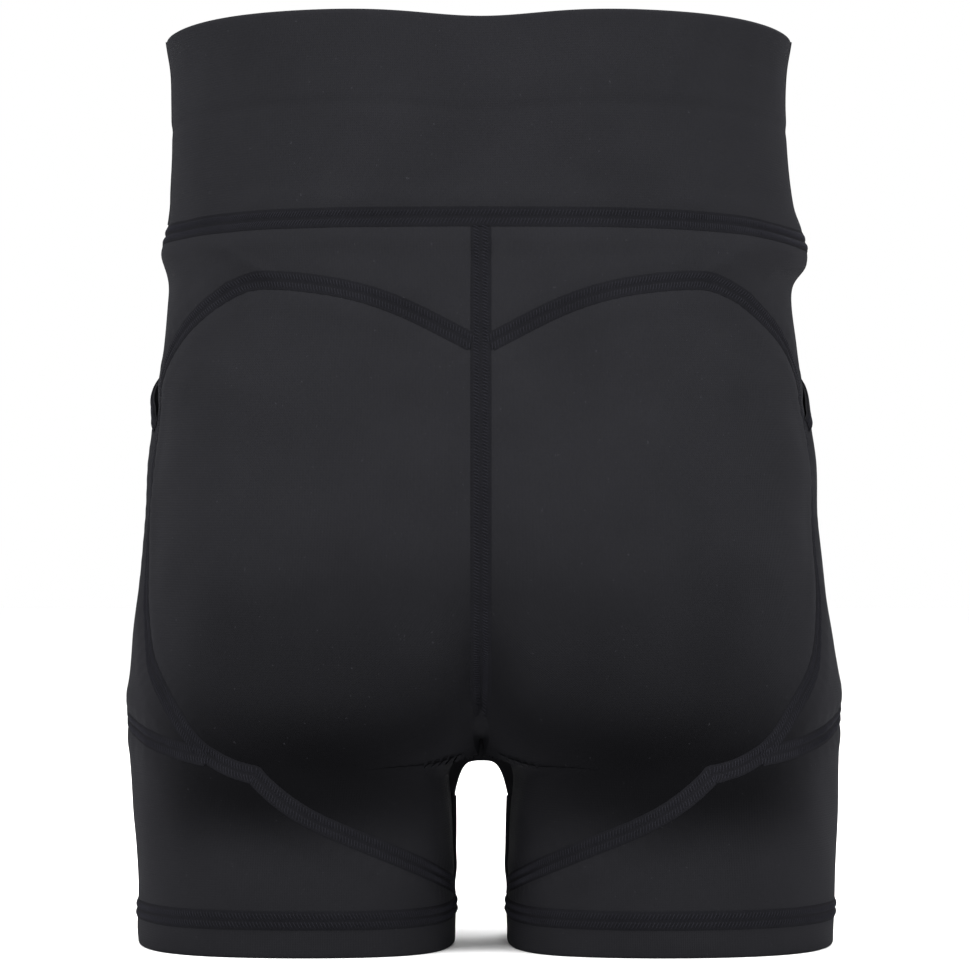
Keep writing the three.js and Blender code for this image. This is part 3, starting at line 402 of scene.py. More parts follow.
def finish_material(name, colour, roughness, sheen, height, depth, shade=None, tint="#8d8f9c", spread=0.45):
    """Puts a height pattern, in metres times depth, and a light-and-dark shade on a cloth shader."""
    mat, tree = new_material(name)
    shader = tree.nodes["Principled BSDF"]
    shader.inputs["Roughness"].default_value = roughness
    shader.inputs["IOR"].default_value = 1.46
    shader.inputs["Specular IOR Level"].default_value = 0.01
    shader.inputs["Sheen Weight"].default_value = sheen
    shader.inputs["Sheen Roughness"].default_value = spread
    shader.inputs["Sheen Tint"].default_value = linear(tint)
    pattern, dark = height(tree), (shade or plain_shade)(tree)
    ends = [(0, dark), (6, linear(colour[0])), (7, linear(colour[1]))]
    colours = add(tree, "ShaderNodeMix", ends, data_type="RGBA")
    tree.links.new(colours.outputs[2], shader.inputs["Base Color"])
    raised = add(tree, "ShaderNodeBump", [("Height", pattern), ("Distance", depth), ("Strength", 0.8)])
    tree.links.new(raised.outputs[0], shader.inputs["Normal"])
    return mat


def new_material(name):
    mat = bpy.data.materials.new(name)
    mat.use_nodes = True
    return mat, mat.node_tree


def plain_shade(tree):
    """Slow light and dark blotches about 35 mm across, and a finer grain of a few millimetres."""
    place = add(tree, "ShaderNodeTexCoord").outputs["Object"]
    slow = add(tree, "ShaderNodeTexNoise", [("Vector", place), ("Scale", 28.0), ("Detail", 3.0)]).outputs[0]
    fine = add(tree, "ShaderNodeTexNoise", [("Vector", place), ("Scale", 900.0), ("Detail", 2.0)]).outputs[0]
    return sums(tree, "ADD", sums(tree, "MULTIPLY", slow, 0.6), sums(tree, "MULTIPLY", fine, 0.4))


def knit_rows(wale, course):
    """Knitted loops: columns of rounded ribs one wale wide, crossed by courses that bend down at each rib's
    middle into a row of V shapes."""

    def made(tree):
        cloth = add(tree, "ShaderNodeUVMap", uv_map="cloth").outputs[0]
        apart = add(tree, "ShaderNodeSeparateXYZ", [(0, cloth)])
        rib = sums(tree, "SINE", sums(tree, "MULTIPLY", apart.outputs[0], math.pi / wale))
        rib = sums(tree, "ABSOLUTE", rib)
        bent = sums(tree, "ADD", sums(tree, "MULTIPLY", apart.outputs[1], 2 * math.pi / course),
                    sums(tree, "MULTIPLY", rib, 2.4))
        loop = sums(tree, "ADD", sums(tree, "MULTIPLY", sums(tree, "SINE", bent), 0.25), 0.5)
        return sums(tree, "ADD", sums(tree, "MULTIPLY", rib, 0.6), sums(tree, "MULTIPLY", loop, 0.5))

    return made


def lint_and_painted_shade(tree):
    """The blotches of plain_shade evened out and darkened by painted shade under the seat and towards the bottom,
    with a few lighter lint specks half a millimetre across."""
    place = add(tree, "ShaderNodeTexCoord").outputs["Object"]
    fine = [("Vector", place), ("Scale", 620.0), ("Detail", 1.0)]
    specks = add(tree, "ShaderNodeTexNoise", fine).outputs[0]
    bright = sums(tree, "MULTIPLY", sums(tree, "GREATER_THAN", specks, 0.775), 0.4)
    even = sums(tree, "ADD", sums(tree, "MULTIPLY", plain_shade(tree), 0.3), 0.35)
    # The evened blotches times the painted shade share, with the lint specks on top.
    return sums(tree, "ADD", sums(tree, "MULTIPLY", even, painted_shade_share(tree, place)), bright)


def between(tree, value, low, high):
    """0 below low, 1 above high, smooth between."""
    span = [(0, value), (1, low), (2, high)]
    return add(tree, "ShaderNodeMapRange", span, interpolation_type="SMOOTHSTEP").outputs[0]


def painted_shade_share(tree, place):
    """Painted shade on the jersey's colour: a little towards the bottom all round, and deepest in the hollow under
    the seat behind, where shadow falls. The share is 1 over the waist and the seat, where no shade is painted."""
    apart = add(tree, "ShaderNodeSeparateXYZ", [(0, place)])
    high = apart.outputs[2]
    behind = sums(tree, "SUBTRACT", 1.0, between(tree, apart.outputs[1], -0.09, -0.04))
    # Painted shade: up to 8 in a hundred darker towards the bottom all round, then two painted shadows in the
    # hollow under the seat, behind only.
    dark = sums(tree, "MULTIPLY", sums(tree, "SUBTRACT", 1.0, between(tree, high, 0.06, 0.3)), 0.08)
    for (rise_low, rise_high, fall_low, fall_high), share in (
            ((0.035, 0.075, 0.1, 0.21), 0.5), ((0.04, 0.07, 0.085, 0.12), 0.34)):
        hollow = sums(tree, "MULTIPLY", between(tree, high, rise_low, rise_high),
                      sums(tree, "SUBTRACT", 1.0, between(tree, high, fall_low, fall_high)))
        dark = sums(tree, "ADD", dark, sums(tree, "MULTIPLY", sums(tree, "MULTIPLY", hollow, behind), share))
    return sums(tree, "SUBTRACT", 1.0, dark)


def woven_ribs(pitch, course):
    """Webbing: round ribs along the band's length, with a fine weft across them."""

    def made(tree):
        cloth = add(tree, "ShaderNodeUVMap", uv_map="cloth").outputs[0]
        apart = add(tree, "ShaderNodeSeparateXYZ", [(0, cloth)])
        turn = sums(tree, "MULTIPLY", apart.outputs[1], math.pi / pitch)
        rib = sums(tree, "ABSOLUTE", sums(tree, "SINE", turn))
        weft = sums(tree, "SINE", sums(tree, "MULTIPLY", apart.outputs[0], 2 * math.pi / course))
        return sums(tree, "ADD", sums(tree, "MULTIPLY", rib, 0.7), sums(tree, "MULTIPLY", weft, 0.15))

    return made


def twisted_ply(tree):
    """Thread: slanting plies a third of a millimetre apart."""
    place = add(tree, "ShaderNodeTexCoord").outputs["Object"]
    return add(tree, "ShaderNodeTexWave", [("Vector", place), ("Scale", 900.0), ("Distortion", 2.0)],
               bands_direction="DIAGONAL").outputs[1]


def open_mesh(tree):
    """Net: small round holes 1.6 mm apart, sunk deep."""
    cloth = add(tree, "ShaderNodeUVMap", uv_map="cloth").outputs[0]
    holes = [("Vector", cloth), ("Scale", 620.0), ("Randomness", 0.05)]
    cells = add(tree, "ShaderNodeTexVoronoi", holes).outputs[0]
    return sums(tree, "MINIMUM", sums(tree, "MULTIPLY", cells, 2.2), 1.0)


def net_shade(tree):
    """Dark in the net's holes."""
    return open_mesh(tree)


def closed_cells(tree):
    """Foam skin: fine closed cells about a millimetre across."""
    place = add(tree, "ShaderNodeTexCoord").outputs["Object"]
    cells = add(tree, "ShaderNodeTexVoronoi", [("Vector", place), ("Scale", 900.0)]).outputs[0]
    slow = add(tree, "ShaderNodeTexNoise", [("Vector", place), ("Scale", 260.0)]).outputs[0]
    return sums(tree, "ADD", cells, sums(tree, "MULTIPLY", slow, 0.5))


# Warp-knit polyamide and elastane jersey, brushed inside: matt black with a soft grey edge light. Its real wales
# are 0.45 mm apart and are drawn at twice that so that they show.
# Its colour is darkened by painted shade towards the bottom and most in the hollow under the seat behind.
jersey = finish_material("stretch_jersey_knit", ("#060607", "#27272a"), 0.82, 0.015,
                         knit_rows(0.0009, 0.0011), 0.00016, lint_and_painted_shade)
# Textured polyester flatlock thread: a little bluer and shinier than the cloth, and it catches light on each turn.
thread = finish_material("flatlock_thread", ("#111114", "#26262b"), 0.6, 0.02, twisted_ply, 0.00008)
# The covering loops between the thread rows, sunk; their dark is partly the thread's black, partly painted shade.
seam_bed = finish_material("flatlock_seam_bed", ("#0d0d0f", "#19191c"), 0.9, 0.0,
                           knit_rows(0.0011, 0.0013), 0.0002)
# Interlock lining knit, softer and greyer than the shell.
lining = finish_material("interlock_lining", ("#19191b", "#303034"), 0.85, 0.3,
                         knit_rows(0.0011, 0.0011), 0.0002)
# Woven rubber-and-polyester webbing, ribbed along its length.
webbing = finish_material("elastic_webbing_rib", ("#1b1b1d", "#3e3e42"), 0.7, 0.15,
                          woven_ribs(0.0022, 0.0012), 0.0004)
# Polyester net with round holes, so the foam shows dark through it.
net = finish_material("pad_sleeve_net", ("#060607", "#36363b"), 0.8, 0.2, open_mesh, 0.0005, net_shade)
# Closed-cell moulded EVA foam with a satin skin.
foam = finish_material("moulded_eva_foam", ("#24272c", "#3c4047"), 0.6, 0.05, closed_cells, 0.0002)


def dress(obj, material, slot, nodes, body="shorts"):
    """Gives a piece its finish, hides the frame nodes that it stands for and ties it to the body that it rides on.
    The slot is not used.
    """
    obj.data.materials.append(material)
    if nodes:
        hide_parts(*nodes)
    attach(obj, body)
    return obj


def grid(count_a, count_b):
    return np.meshgrid(np.linspace(0, 1, count_a), np.linspace(0, 1, count_b), indexing="ij")


def which(side):
    return "right" if side > 0 else "left"


def cut(obj):
    """Returns the sheet as it is; no cut is declared. The real cloth is cut a few parts in a hundred smaller each
    way than it is worn, so that it stretches to fit."""
    return obj


# ---- Panels ----
def ruled(edge_a, edge_b, count):
    """Places on straight lines in (angle, height) from one edge, in (around, height), to the other."""
    a, b = (np.stack([turned(e[:, 0], e[:, 1]), e[:, 1]], -1) for e in (edge_a, edge_b))
    s = np.linspace(0, 1, count)[:, None, None]
    return a[None] * (1 - s) + b[None] * s


def ruled_level(edge_a, edge_b, count):
    """Places on straight lines in (around, height) from one edge to the other, given in (angle, height)."""
    s = np.linspace(0, 1, count)[:, None, None]
    places = edge_a[None] * (1 - s) + edge_b[None] * s
    return np.stack([turned(places[..., 0], places[..., 1]), places[..., 1]], -1)


def gusset_edge(height, back):
    """The gusset's edge: a diamond, widest at the crotch."""
    share = np.clip((height - GUSSET_LOW) / (GUSSET_HIGH - GUSSET_LOW), 0, 1)
    width = GUSSET_HALF * (1 - np.abs(2 * share - 1))
    end = -1.0 if back else 1.0
    turn = fork_turn(height, back)
    length = np.linalg.norm(tangents(1, end * turn, height)[0], axis=-1)
    return end - end * width / length / turn


def near_crotch(height, reach):
    """Heights just above the crotch drawn down towards it by their square, where the surface turns fastest."""
    share = np.clip((height - CROTCH) / reach, 0, 1)
    return np.where((height > CROTCH) & (height < CROTCH + reach), CROTCH + reach * share**2, height)


seat_length = path_length(seat_seam)
fine_share = np.linspace(0, 1, 900)
fine_length = np.concatenate([[0], np.cumsum(np.linalg.norm(
    np.diff(half_body(1, *seat_seam(fine_share).T), axis=0), axis=1))])


def seat_places(t, knots):
    """The seat seam run so that its mouth and base corners come at given knots of t."""
    stops = np.interp([0, MOUTH_SHARE, BASE_SHARE, 1], fine_share, fine_length)
    return seat_seam(np.interp(np.interp(t, knots, stops), fine_length, fine_share))


def panel_piece(name, side, places, nodes, lift=0.0, thickness=JERSEY, material=None, slot="stretch_jersey"):
    """A panel over given places: its outer face at lift and its inner face one thickness below."""
    angle, height = places[..., 0], places[..., 1]
    outer = turned_skin(side, angle, height, lift)
    inner = turned_skin(side, angle, height, np.asarray(lift) - thickness)
    obj = closed_sheet(name, outer, inner, cloth_map_of(side, angle, height))
    return dress(obj, material or jersey, slot, nodes)


def in_pocket(angle, height):
    """How far a place is into the pocket: a half sine across it, and 0 at its base to 1 at its mouth."""
    around = angle / fork_turn(height, angle < 0)
    inside = (SEAT_LINE[:, 1] < mouth_back[1] + 1) & (SEAT_LINE[:, 1] > base_back[1] - 1)
    seam = np.interp(height, SEAT_LINE[inside, 1][::-1], SEAT_LINE[inside, 0][::-1])
    across = np.clip((around - seam) / (front_seam(height) - seam), 0, 1)
    up = (height - pocket_base(around)) / (pocket_mouth(around) - pocket_base(around))
    return np.sin(math.pi * across), up


def pocket_lift(angle, height):
    """The pocket panel stands off most at the middle of its mouth."""
    middle, up = in_pocket(angle, height)
    return 5.5 * middle**0.8 * ease(up / 0.3) * (0.35 + 0.65 * np.clip(up, 0, 1) ** 3)


def pocket_dish(angle, height):
    """The pocket's backing sinks by as much again, and comes back to the cloth above the mouth."""
    middle, up = in_pocket(angle, height)
    above = np.clip((height - pocket_mouth(angle / fork_turn(height, angle < 0))) / 12, 0, 1)
    return 4.5 * middle * ease(up / 0.3) * (1 - above**2)


for side in (1, -1):
    way = which(side)
    gusset_start, gusset_middle, gusset_end = 14 / 27, 16 / 27, 18 / 27
    t = np.concatenate([np.linspace(0, gusset_start, 121)[:-1], np.linspace(gusset_start, gusset_end, 61),
                        np.linspace(gusset_end, 1, 50)[1:]])
    knots = [0, gusset_start, gusset_middle, gusset_end, 1]
    centre = np.interp(t, knots, [SEAT_SEAM[0, 1], GUSSET_HIGH, CROTCH, GUSSET_LOW, SEAT_SEAM[-1, 1]])
    centre = near_crotch(centre, CROTCH_REACH)
    edge = np.stack([gusset_edge(centre, True), centre], -1)
    seat = seat_places(t, [0, 8 / 27, 17 / 27, 1])
    piece = panel_piece(f"seat_cloth_{way}", side, ruled(edge, seat, 110), [f"seat_panel_{way}"])
    cut(piece)

    t = np.linspace(0, 1, 170)
    stops = np.interp([0, MOUTH_SHARE], fine_share, fine_length)
    low = seat_seam(np.interp(np.interp(t, [0, 0.45], stops), fine_length, fine_share))
    mouth = mouth_back + (mouth_front - mouth_back) * np.clip((t - 0.45) / 0.55, 0, 1)[:, None]
    low = np.where((t > 0.45)[:, None], mouth, low)
    high = np.stack([low[:, 0], waist_seam(side, low[:, 0])], -1)
    piece = panel_piece(f"yoke_cloth_{way}", side, ruled(low, high, 50), [f"back_yoke_{way}"])
    cut(piece)

    t = np.linspace(0, 1, 120)
    stops = np.interp([MOUTH_SHARE, BASE_SHARE], fine_share, fine_length)
    back = seat_seam(np.interp(stops[0] + (stops[1] - stops[0]) * t, fine_length, fine_share))
    down = MOUTH_FRONT + (BASE_FRONT - MOUTH_FRONT) * t
    front = np.stack([front_seam(down), down], -1)
    places = ruled_level(back, front, 90)
    piece = panel_piece(f"pocket_cloth_{way}", side, places, [f"pocket_panel_{way}"],
                        pocket_lift(places[..., 0], places[..., 1]))
    cut(piece)
    places = places[::2, ::2].copy()
    places[..., 1] += 12 * (1 - t[::2]) ** 2
    piece = panel_piece(f"pocket_backing_cloth_{way}", side, places, [f"pocket_backing_{way}"],
                        -1.8 - pocket_dish(places[..., 0], places[..., 1]), LINING, lining, "lining_knit")
    cut(piece)

    t = np.linspace(0, 1, 200)
    stops = np.interp([BASE_SHARE, 1], fine_share, fine_length)
    under = seat_seam(np.interp(np.interp(t, [0, 0.62], stops[::-1]), fine_length, fine_share))
    base = base_back + (base_front - base_back) * np.clip((t - 0.62) / 0.38, 0, 1)[:, None]
    high = np.where((t > 0.62)[:, None], base, under)
    height = np.linspace(0, 1, 70)[:, None] * (high[None, :, 1] - 1.5) + 1.5
    held = np.broadcast_to(turned(high[:, 0], high[:, 1])[None], height.shape)
    places = np.stack([held, height], -1)
    piece = panel_piece(f"leg_cloth_{way}", side, places, [f"leg_panel_{way}"])
    cut(piece)

    t = np.linspace(0, 1, 220)
    seam_top = float(waist_seam(side, mouth_front[0]))
    down = np.interp(t, [0, 0.29, 0.82, 1], [1.5, BASE_FRONT, MOUTH_FRONT, seam_top])
    front = np.stack([front_seam(down), down], -1)
    middle = np.interp(t, [0, 0.06, 0.16, 0.29, 1], [1.5, GUSSET_LOW, CROTCH, GUSSET_HIGH, WAIST])
    middle = near_crotch(middle, CROTCH_REACH)
    edge = np.stack([gusset_edge(middle, False), middle], -1)
    piece = panel_piece(f"front_cloth_{way}", side, ruled(front, edge, 90), [f"front_panel_{way}"])
    cut(piece)

    a, f = np.linspace(-1, 1, 220)[:, None], np.linspace(0, 1, 40)[None]
    arc = np.clip(f / 0.3, 0, 1) * math.pi
    rise = np.clip((f - 0.3) / 0.7, 0, 1) * 24.4
    ring = lambda r: (np.broadcast_to(-1.5 + r * np.cos(arc), (220, 40)), 1.6 - r * np.sin(arc) + rise)
    (off_a, high_a), (off_b, high_b) = ring(1.5), ring(0.35)
    spread = np.broadcast_to(a, (220, 40))
    outer = skin(side, spread, np.broadcast_to(high_a, (220, 40)), off_a)
    inner = skin(side, spread, np.broadcast_to(high_b, (220, 40)), off_b)
    for layer, level in ((outer, high_a), (inner, high_b)):
        layer[..., 2] = np.maximum(np.broadcast_to(level, (220, 40)) - 0.1, 0.0)
    both = cloth_map_of(side, spread * 2.0, np.broadcast_to(high_a, (220, 40)) + 40 * f)
    obj = closed_sheet(f"hem_turn_up_{way}", outer[:-1], inner[:-1], both, rings=True)
    cut(dress(obj, jersey, "stretch_jersey", [f"leg_hem_{way}"]))

# ---- Waistband ----
def band_piece(name, back, profile_outer, profile_inner, columns, nodes, material, slot):
    """A strip round the back or the front: each profile gives, from 0 at its start to 1 at its end, how far it
    stands off the cloth, how high above the waist seam as a share, and how far below the top edge."""
    across = np.linspace(-1, 1, columns)[:, None]
    side = np.where(across < 0, -1.0, 1.0)
    around = (-1.0 if back else 1.0) * (1 - np.abs(across))
    layers = []
    for off, share, below in (profile_outer, profile_inner):
        low, high = waist_seam(side, around), top_edge(around)
        height = low * (1 - share[None]) + high * share[None] - below[None]
        layers.append((skin(side, np.broadcast_to(around, height.shape), height, off[None]), height))
    shape = layers[0][1].shape
    run = np.concatenate([[0], np.cumsum(np.hypot(np.diff(profile_outer[0]), np.diff(layers[0][1][0])))])
    cloth = np.stack([np.broadcast_to(across * 0.22, shape), np.broadcast_to(run * 0.001 + 0.3, shape)], -1)
    obj = closed_sheet(name, layers[0][0], layers[1][0], cloth)
    return dress(obj, material, slot, nodes)


def folded_profile(radius):
    """Up the outside, over a round fold 4.4 mm thick and a little way down the inside."""
    up, turn, down = np.linspace(0, 1, 56), np.linspace(0, math.pi, 13)[1:], np.linspace(0, 1, 6)[1:]
    off = np.concatenate([np.full(56, radius - 2.2), radius * np.cos(turn) - 2.2, np.full(5, -radius - 2.2)])
    share = np.concatenate([up, np.ones(17)])
    below = np.concatenate([2.2 * up, 2.2 - radius * np.sin(turn), 2.2 + 4.4 * down])
    return off, share, below


def flat_profile(off, from_top, rows):
    """Straight up at one depth, from the waist seam to from_top below the top edge."""
    up = np.linspace(0, 1, rows)
    return np.full(rows, off), up, from_top * up


for place in ("back", "front"):
    back = place == "back"
    obj = band_piece(f"waistband_cloth_{place}", back, folded_profile(2.2), folded_profile(1.0), 300,
                     [f"waistband_outer_{place}"], jersey, "stretch_jersey")
    cut(obj)
    obj = band_piece(f"waistband_lining_cloth_{place}", back, flat_profile(-3.6, 7.0, 40),
                     flat_profile(-4.4, 7.0, 40), 160, [f"waistband_lining_{place}"], lining, "lining_knit")
    cut(obj)

turns = np.linspace(0, 4, 321)
ring_side = np.where(turns < 2, 1.0, -1.0)
ring_around = np.where(turns < 2, turns - 1, 3 - turns)
below = np.linspace(40, 2.6, 24)[None]
height = top_edge(ring_around)[:, None] - below
spread = [np.broadcast_to(v[:, None], height.shape) for v in (ring_side, ring_around)]
outer, inner = (skin(*spread, height, off) for off in (-1.8, -3.0))
cloth = np.stack([np.broadcast_to(turns[:, None] * 0.22, height.shape), height * 0.001], -1)
obj = closed_sheet("waist_elastic_webbing", outer[:-1], inner[:-1], cloth, rings=True)
cut(dress(obj, webbing, "elastic_webbing", ["waist_elastic"]))


# ---- Seams ----
def side_strip(side, path, lift=None):
    """For a path on one half: the point a given way across it and a given lift above the cloth. The way across
    is solved on the surface, so that a band keeps its width where the surface bends."""
    angle, height = turned(path[:, 0], path[:, 1]), path[:, 1]
    along, up = tangents(side, angle, height)
    ahead = np.gradient(turned_body(side, angle, height), axis=0)
    across = unit(np.cross(unit(np.cross(along, up)), ahead))
    aa, au, uu = (along * along).sum(-1), (along * up).sum(-1), (up * up).sum(-1)
    ca, cu = (across * along).sum(-1), (across * up).sum(-1)
    base = aa * uu - au * au
    turn, rise = (ca * uu - cu * au) / base, (cu * aa - ca * au) / base

    def place(a, off):
        a = np.asarray(a, float)
        h = height[:, None] + rise[:, None] * a
        r = angle[:, None] + turn[:, None] * a
        most = fork_turn(h, r < 0)
        r = np.clip(r, -most, most)
        more = 0 if lift is None else lift(r, h)
        return turned_skin(side, r, h, off + more)

    return place


def ring_strip(side, around, height):
    """For a level ring: across is straight up the surface."""

    def place(a, off):
        a = np.asarray(a, float)
        shape = (len(around), a.shape[-1])
        r = np.broadcast_to(around[:, None], shape)
        sides = np.broadcast_to(np.asarray(side, float).reshape(-1, 1), shape)
        return skin(sides, r, height[:, None] + a, off)

    return place


def centre_strip(end, height):
    """For a centre line: across runs over the middle, onto the left half where it is negative."""
    turn = end * fork_turn(height, end < 0)
    length = np.linalg.norm(tangents(1, turn, height)[0], axis=-1)[:, None]

    def place(a, off):
        a = np.broadcast_to(np.asarray(a, float), (len(height), np.asarray(a).shape[-1]))
        side = np.where(a < 0, -1.0, 1.0)
        level = np.broadcast_to(height[:, None], a.shape)
        point = turned_skin(side, turn[:, None] - end * np.abs(a) / length, level, off)
        held = side * np.maximum(side * point[..., 0], np.abs(a) * 0.35)
        point[..., 0] = np.where(a == 0, 0.0, held)
        return point

    return place


def flat_seam(name, place, half, rings, nodes):
    """The bed of a flatlock seam: low round edges and two shallow rows, on a thin closed strip."""
    a = np.linspace(-1, 1, 15)
    rise = 0.1 + 0.42 * (1 - a**6) - 0.16 * bump(a, 0.13)
    outer, inner = place(a[None] * half, rise[None]), place(a[None] * half, np.full((1, 15), -0.25))
    count = outer.shape[0]
    steps = np.arange(count + 1 if rings else count) * 0.0013
    cloth = np.stack(np.meshgrid(steps, a * half * 0.001, indexing="ij"), -1)
    obj = closed_sheet(name, outer, inner, cloth, rings)
    return dress(obj, seam_bed, "seam_thread", nodes)


def stitches(name, place, rows, pitch_lean=0.45, stout=0.27):
    """Thread over a seam: at each step of the path one stitch for each row. A stitch is a thread with five
    sides that rises from the cloth, arches across its row, leans ahead, and goes in again."""
    parts, u = [], np.linspace(-1, 1, 5)
    for low, high in rows:
        three = place(np.array([[low, (low + high) / 2, high]]), 0.5)
        start, middle, end = (three[:, k] for k in range(3))
        ahead = np.gradient(middle, axis=0)
        cross = unit(end - start)
        normal = unit(np.cross(cross, ahead))
        raised = place(np.array([[0.0]]), 1.5)[:, 0] - place(np.array([[0.0]]), 0.5)[:, 0]
        normal *= np.sign((normal * unit(raised)).sum(-1, keepdims=True))
        bow = middle - (start + end) / 2
        w = u[None, :, None]
        line = (start[:, None] * (1 - w) + end[:, None] * (1 + w)) / 2 + bow[:, None] * (1 - w**2)
        line = line + ahead[:, None] * w * pitch_lean + normal[:, None] * (0.34 * (1 - w**2) - 0.2)
        thick = stout * (0.55 + 0.45 * np.sqrt(1 - u**2 * 0.98))
        spin = np.linspace(0, 2 * math.pi, 6)[:-1]
        wide, tall = unit(ahead)[:, None, None], normal[:, None, None]
        ring = wide * np.cos(spin)[None, None, :, None] + tall * np.sin(spin)[None, None, :, None]
        parts.append((line[:, :, None] + ring * thick[None, :, None, None]).reshape(-1, 3))
    points = np.concatenate(parts)
    total = len(points) // 25
    k, v = np.meshgrid(np.arange(4), np.arange(5), indexing="ij")
    k, v = k.ravel(), v.ravel()
    quads = np.stack([k * 5 + v, k * 5 + (v + 1) % 5, (k + 1) * 5 + (v + 1) % 5, (k + 1) * 5 + v], -1)
    base = np.arange(total)[:, None, None] * 25
    mesh = bpy.data.meshes.new(name)
    body_faces = (base + quads[None]).reshape(-1, 4)
    ends = np.concatenate([base[..., 0] + np.arange(5)[None, ::-1], base[..., 0] + np.arange(20, 25)[None]])
    faces = body_faces.tolist() + ends.tolist()
    mesh.from_pydata((points * 0.001).tolist(), [], faces)
    build = bmesh.new()
    build.from_mesh(mesh)
    bmesh.ops.recalc_face_normals(build, faces=build.faces)
    build.to_mesh(mesh)
    build.free()
    mesh.shade_smooth()
    obj = bpy.data.objects.new(name, mesh)
    bpy.context.scene.collection.objects.link(obj)
    return dress(obj, thread, "seam_thread", [])


LADDER = ((-3.35, -0.45), (0.45, 3.35))
PITCH = 1.45


def sewn(name, strip_of, length, half, nodes, rings=False, rows=LADDER):
    """A seam's bed at 1.6 mm steps and its stitches at the thread pitch."""
    flat_seam(name, strip_of(max(3, int(length / 1.6))), half, rings, nodes)
    stitches(name + "_stitches", strip_of(max(3, int(length / PITCH))), rows)


for side in (1, -1):
    way = which(side)
    run = lambda path, trim, lift=None, start=0.0, end=1.0: (
        lambda count, s=side: side_strip(s, even_path(path, count, start, end, trim)[0], lift))
    sewn(f"seat_seam_band_{way}", run(seat_seam, (4.6, 3)), seat_length, SEAM_HALF, [f"seat_seam_{way}"])
    path = straight(base_back, base_front)
    sewn(f"pocket_base_band_{way}", run(path, (4, 4)), path_length(path), SEAM_HALF,
         [f"pocket_base_seam_{way}"])
    lowered = straight(mouth_back - (0, 3.2), mouth_front - (0, 3.2))
    sewn(f"pocket_mouth_band_{way}", run(lowered, (5, 6), pocket_lift), path_length(lowered), 3.2,
         [f"pocket_mouth_hem_{way}"], rows=((-2.6, -0.3), (0.3, 2.6)))
    path = lambda t: np.stack([front_seam(WAIST - 3 - t * (WAIST - 24)), WAIST - 3 - t * (WAIST - 24)], -1)
    sewn(f"front_side_band_{way}", run(path, (3, 0)), path_length(path), SEAM_HALF,
         [f"front_side_seam_{way}"])
    loop = lambda count, s=side: ring_strip(s, np.linspace(-1, 1, count + 1)[:-1], np.full(count, HEM_MIDDLE))
    sewn(f"hem_band_{way}", loop, 480, 4.3, [f"hem_stitching_{way}"], rings=True)
    low, high = 22.0, GUSSET_LOW - 1
    inner = np.linspace(low, high, 30)
    spots = np.linspace(-3, 3, 9)[None]
    size = np.linalg.norm(tangents(side, np.full(30, math.pi), inner)[0], axis=-1)[:, None] * math.pi
    around = np.where(spots <= 0, -1.0, 1.0) - spots / size
    level = np.broadcast_to(inner[:, None], around.shape)
    rise = 0.1 + 0.45 * (1 - (spots / 3) ** 6)
    outer, under = (skin(side, around, level, np.broadcast_to(v, around.shape)) for v in (rise, -0.25))
    obj = closed_sheet(f"inseam_band_{way}", outer, under, cloth_map_of(1, around, level))
    dress(obj, seam_bed, "seam_thread", [f"inseam_{way}"])
    heights = np.linspace(WAIST + 1, TOP - 8.2, 70)
    size = np.linalg.norm(tangents(side, np.zeros(70), heights)[0], axis=-1)[:, None] * math.pi / 2
    spots = np.linspace(-2.4, 2.4, 9)[None]
    around, level = spots / size, np.broadcast_to(heights[:, None], (70, 9))
    outer, under = (skin(side, around, level, np.broadcast_to(v, around.shape))
                    for v in (0.08 + 0.4 * (1 - (spots / 2.4) ** 4), -0.25))
    obj = closed_sheet(f"waistband_side_band_{way}", outer, under, cloth_map_of(side, around, level))
    dress(obj, seam_bed, "seam_thread", [f"waistband_side_seam_{way}"])

for place, end in (("back", -1.0), ("front", 1.0)):
    strip = lambda count, e=end: centre_strip(e, np.linspace(WAIST - 4.6, GUSSET_HIGH - 4, count))
    sewn(f"centre_{place}_band", strip, 232, CENTRE_HALF, [f"centre_{place}_seam"])


def waist_strip(count):
    """The waist seam's ring round the trunk, from the centre back over the right side."""
    turn = np.linspace(0, 4, count + 1)[:-1]
    side, around = np.where(turn < 2, 1.0, -1.0), np.where(turn < 2, turn - 1, 3 - turn)
    return ring_strip(side, around, waist_seam(side, around))


sewn("waist_band_seam", waist_strip, 930, 4.4, ["waist_seam"], rings=True)

# ---- Gusset ----
s, t = grid(61, 31)
along = np.linspace(-0.99, 0.99, 61)
height = GUSSET_LOW + (GUSSET_HIGH - GUSSET_LOW) * np.abs(along)
edge_around = np.where(along < 0, gusset_edge(height, True), gusset_edge(height, False))
across = np.linspace(-1, 1, 31)[None]


def gusset_layer(off):
    """Between its two edges the gusset arches over: a flat-topped fourth-power curve up to the crotch line."""
    edge = skin(1, edge_around, height, off)
    other = skin(-1, edge_around, height, off)
    mean_x = np.minimum(edge[:, 0], -other[:, 0])
    crown = np.maximum(height + 3.0 + 12 * (1 - np.abs(along)) ** 0.5 - off, edge[:, 2])
    arch = 1 - np.abs(across) ** 4
    x = across * mean_x[:, None]
    return np.stack([x, np.broadcast_to(edge[:, 1][:, None], x.shape),
                     edge[:, 2][:, None] * (1 - arch) + crown[:, None] * arch], -1)


obj = closed_sheet("gusset_cloth", gusset_layer(-0.1), gusset_layer(-1.3), cloth_map_of(1, s, 60 + 40 * t))
cut(dress(obj, jersey, "stretch_jersey", ["crotch_gusset"]))


# ---- Impact pads ----
def frame_copy(node, name):
    """A merged copy of a frame node's mesh."""
    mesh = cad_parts[node].data.copy()
    mesh.materials.clear()
    obj = bpy.data.objects.new(name, mesh)
    bpy.context.scene.collection.objects.link(obj)
    build = bmesh.new()
    build.from_mesh(mesh)
    bmesh.ops.remove_doubles(build, verts=build.verts, dist=2e-5)
    bmesh.ops.recalc_face_normals(build, faces=build.faces)
    build.to_mesh(mesh)
    build.free()
    return obj


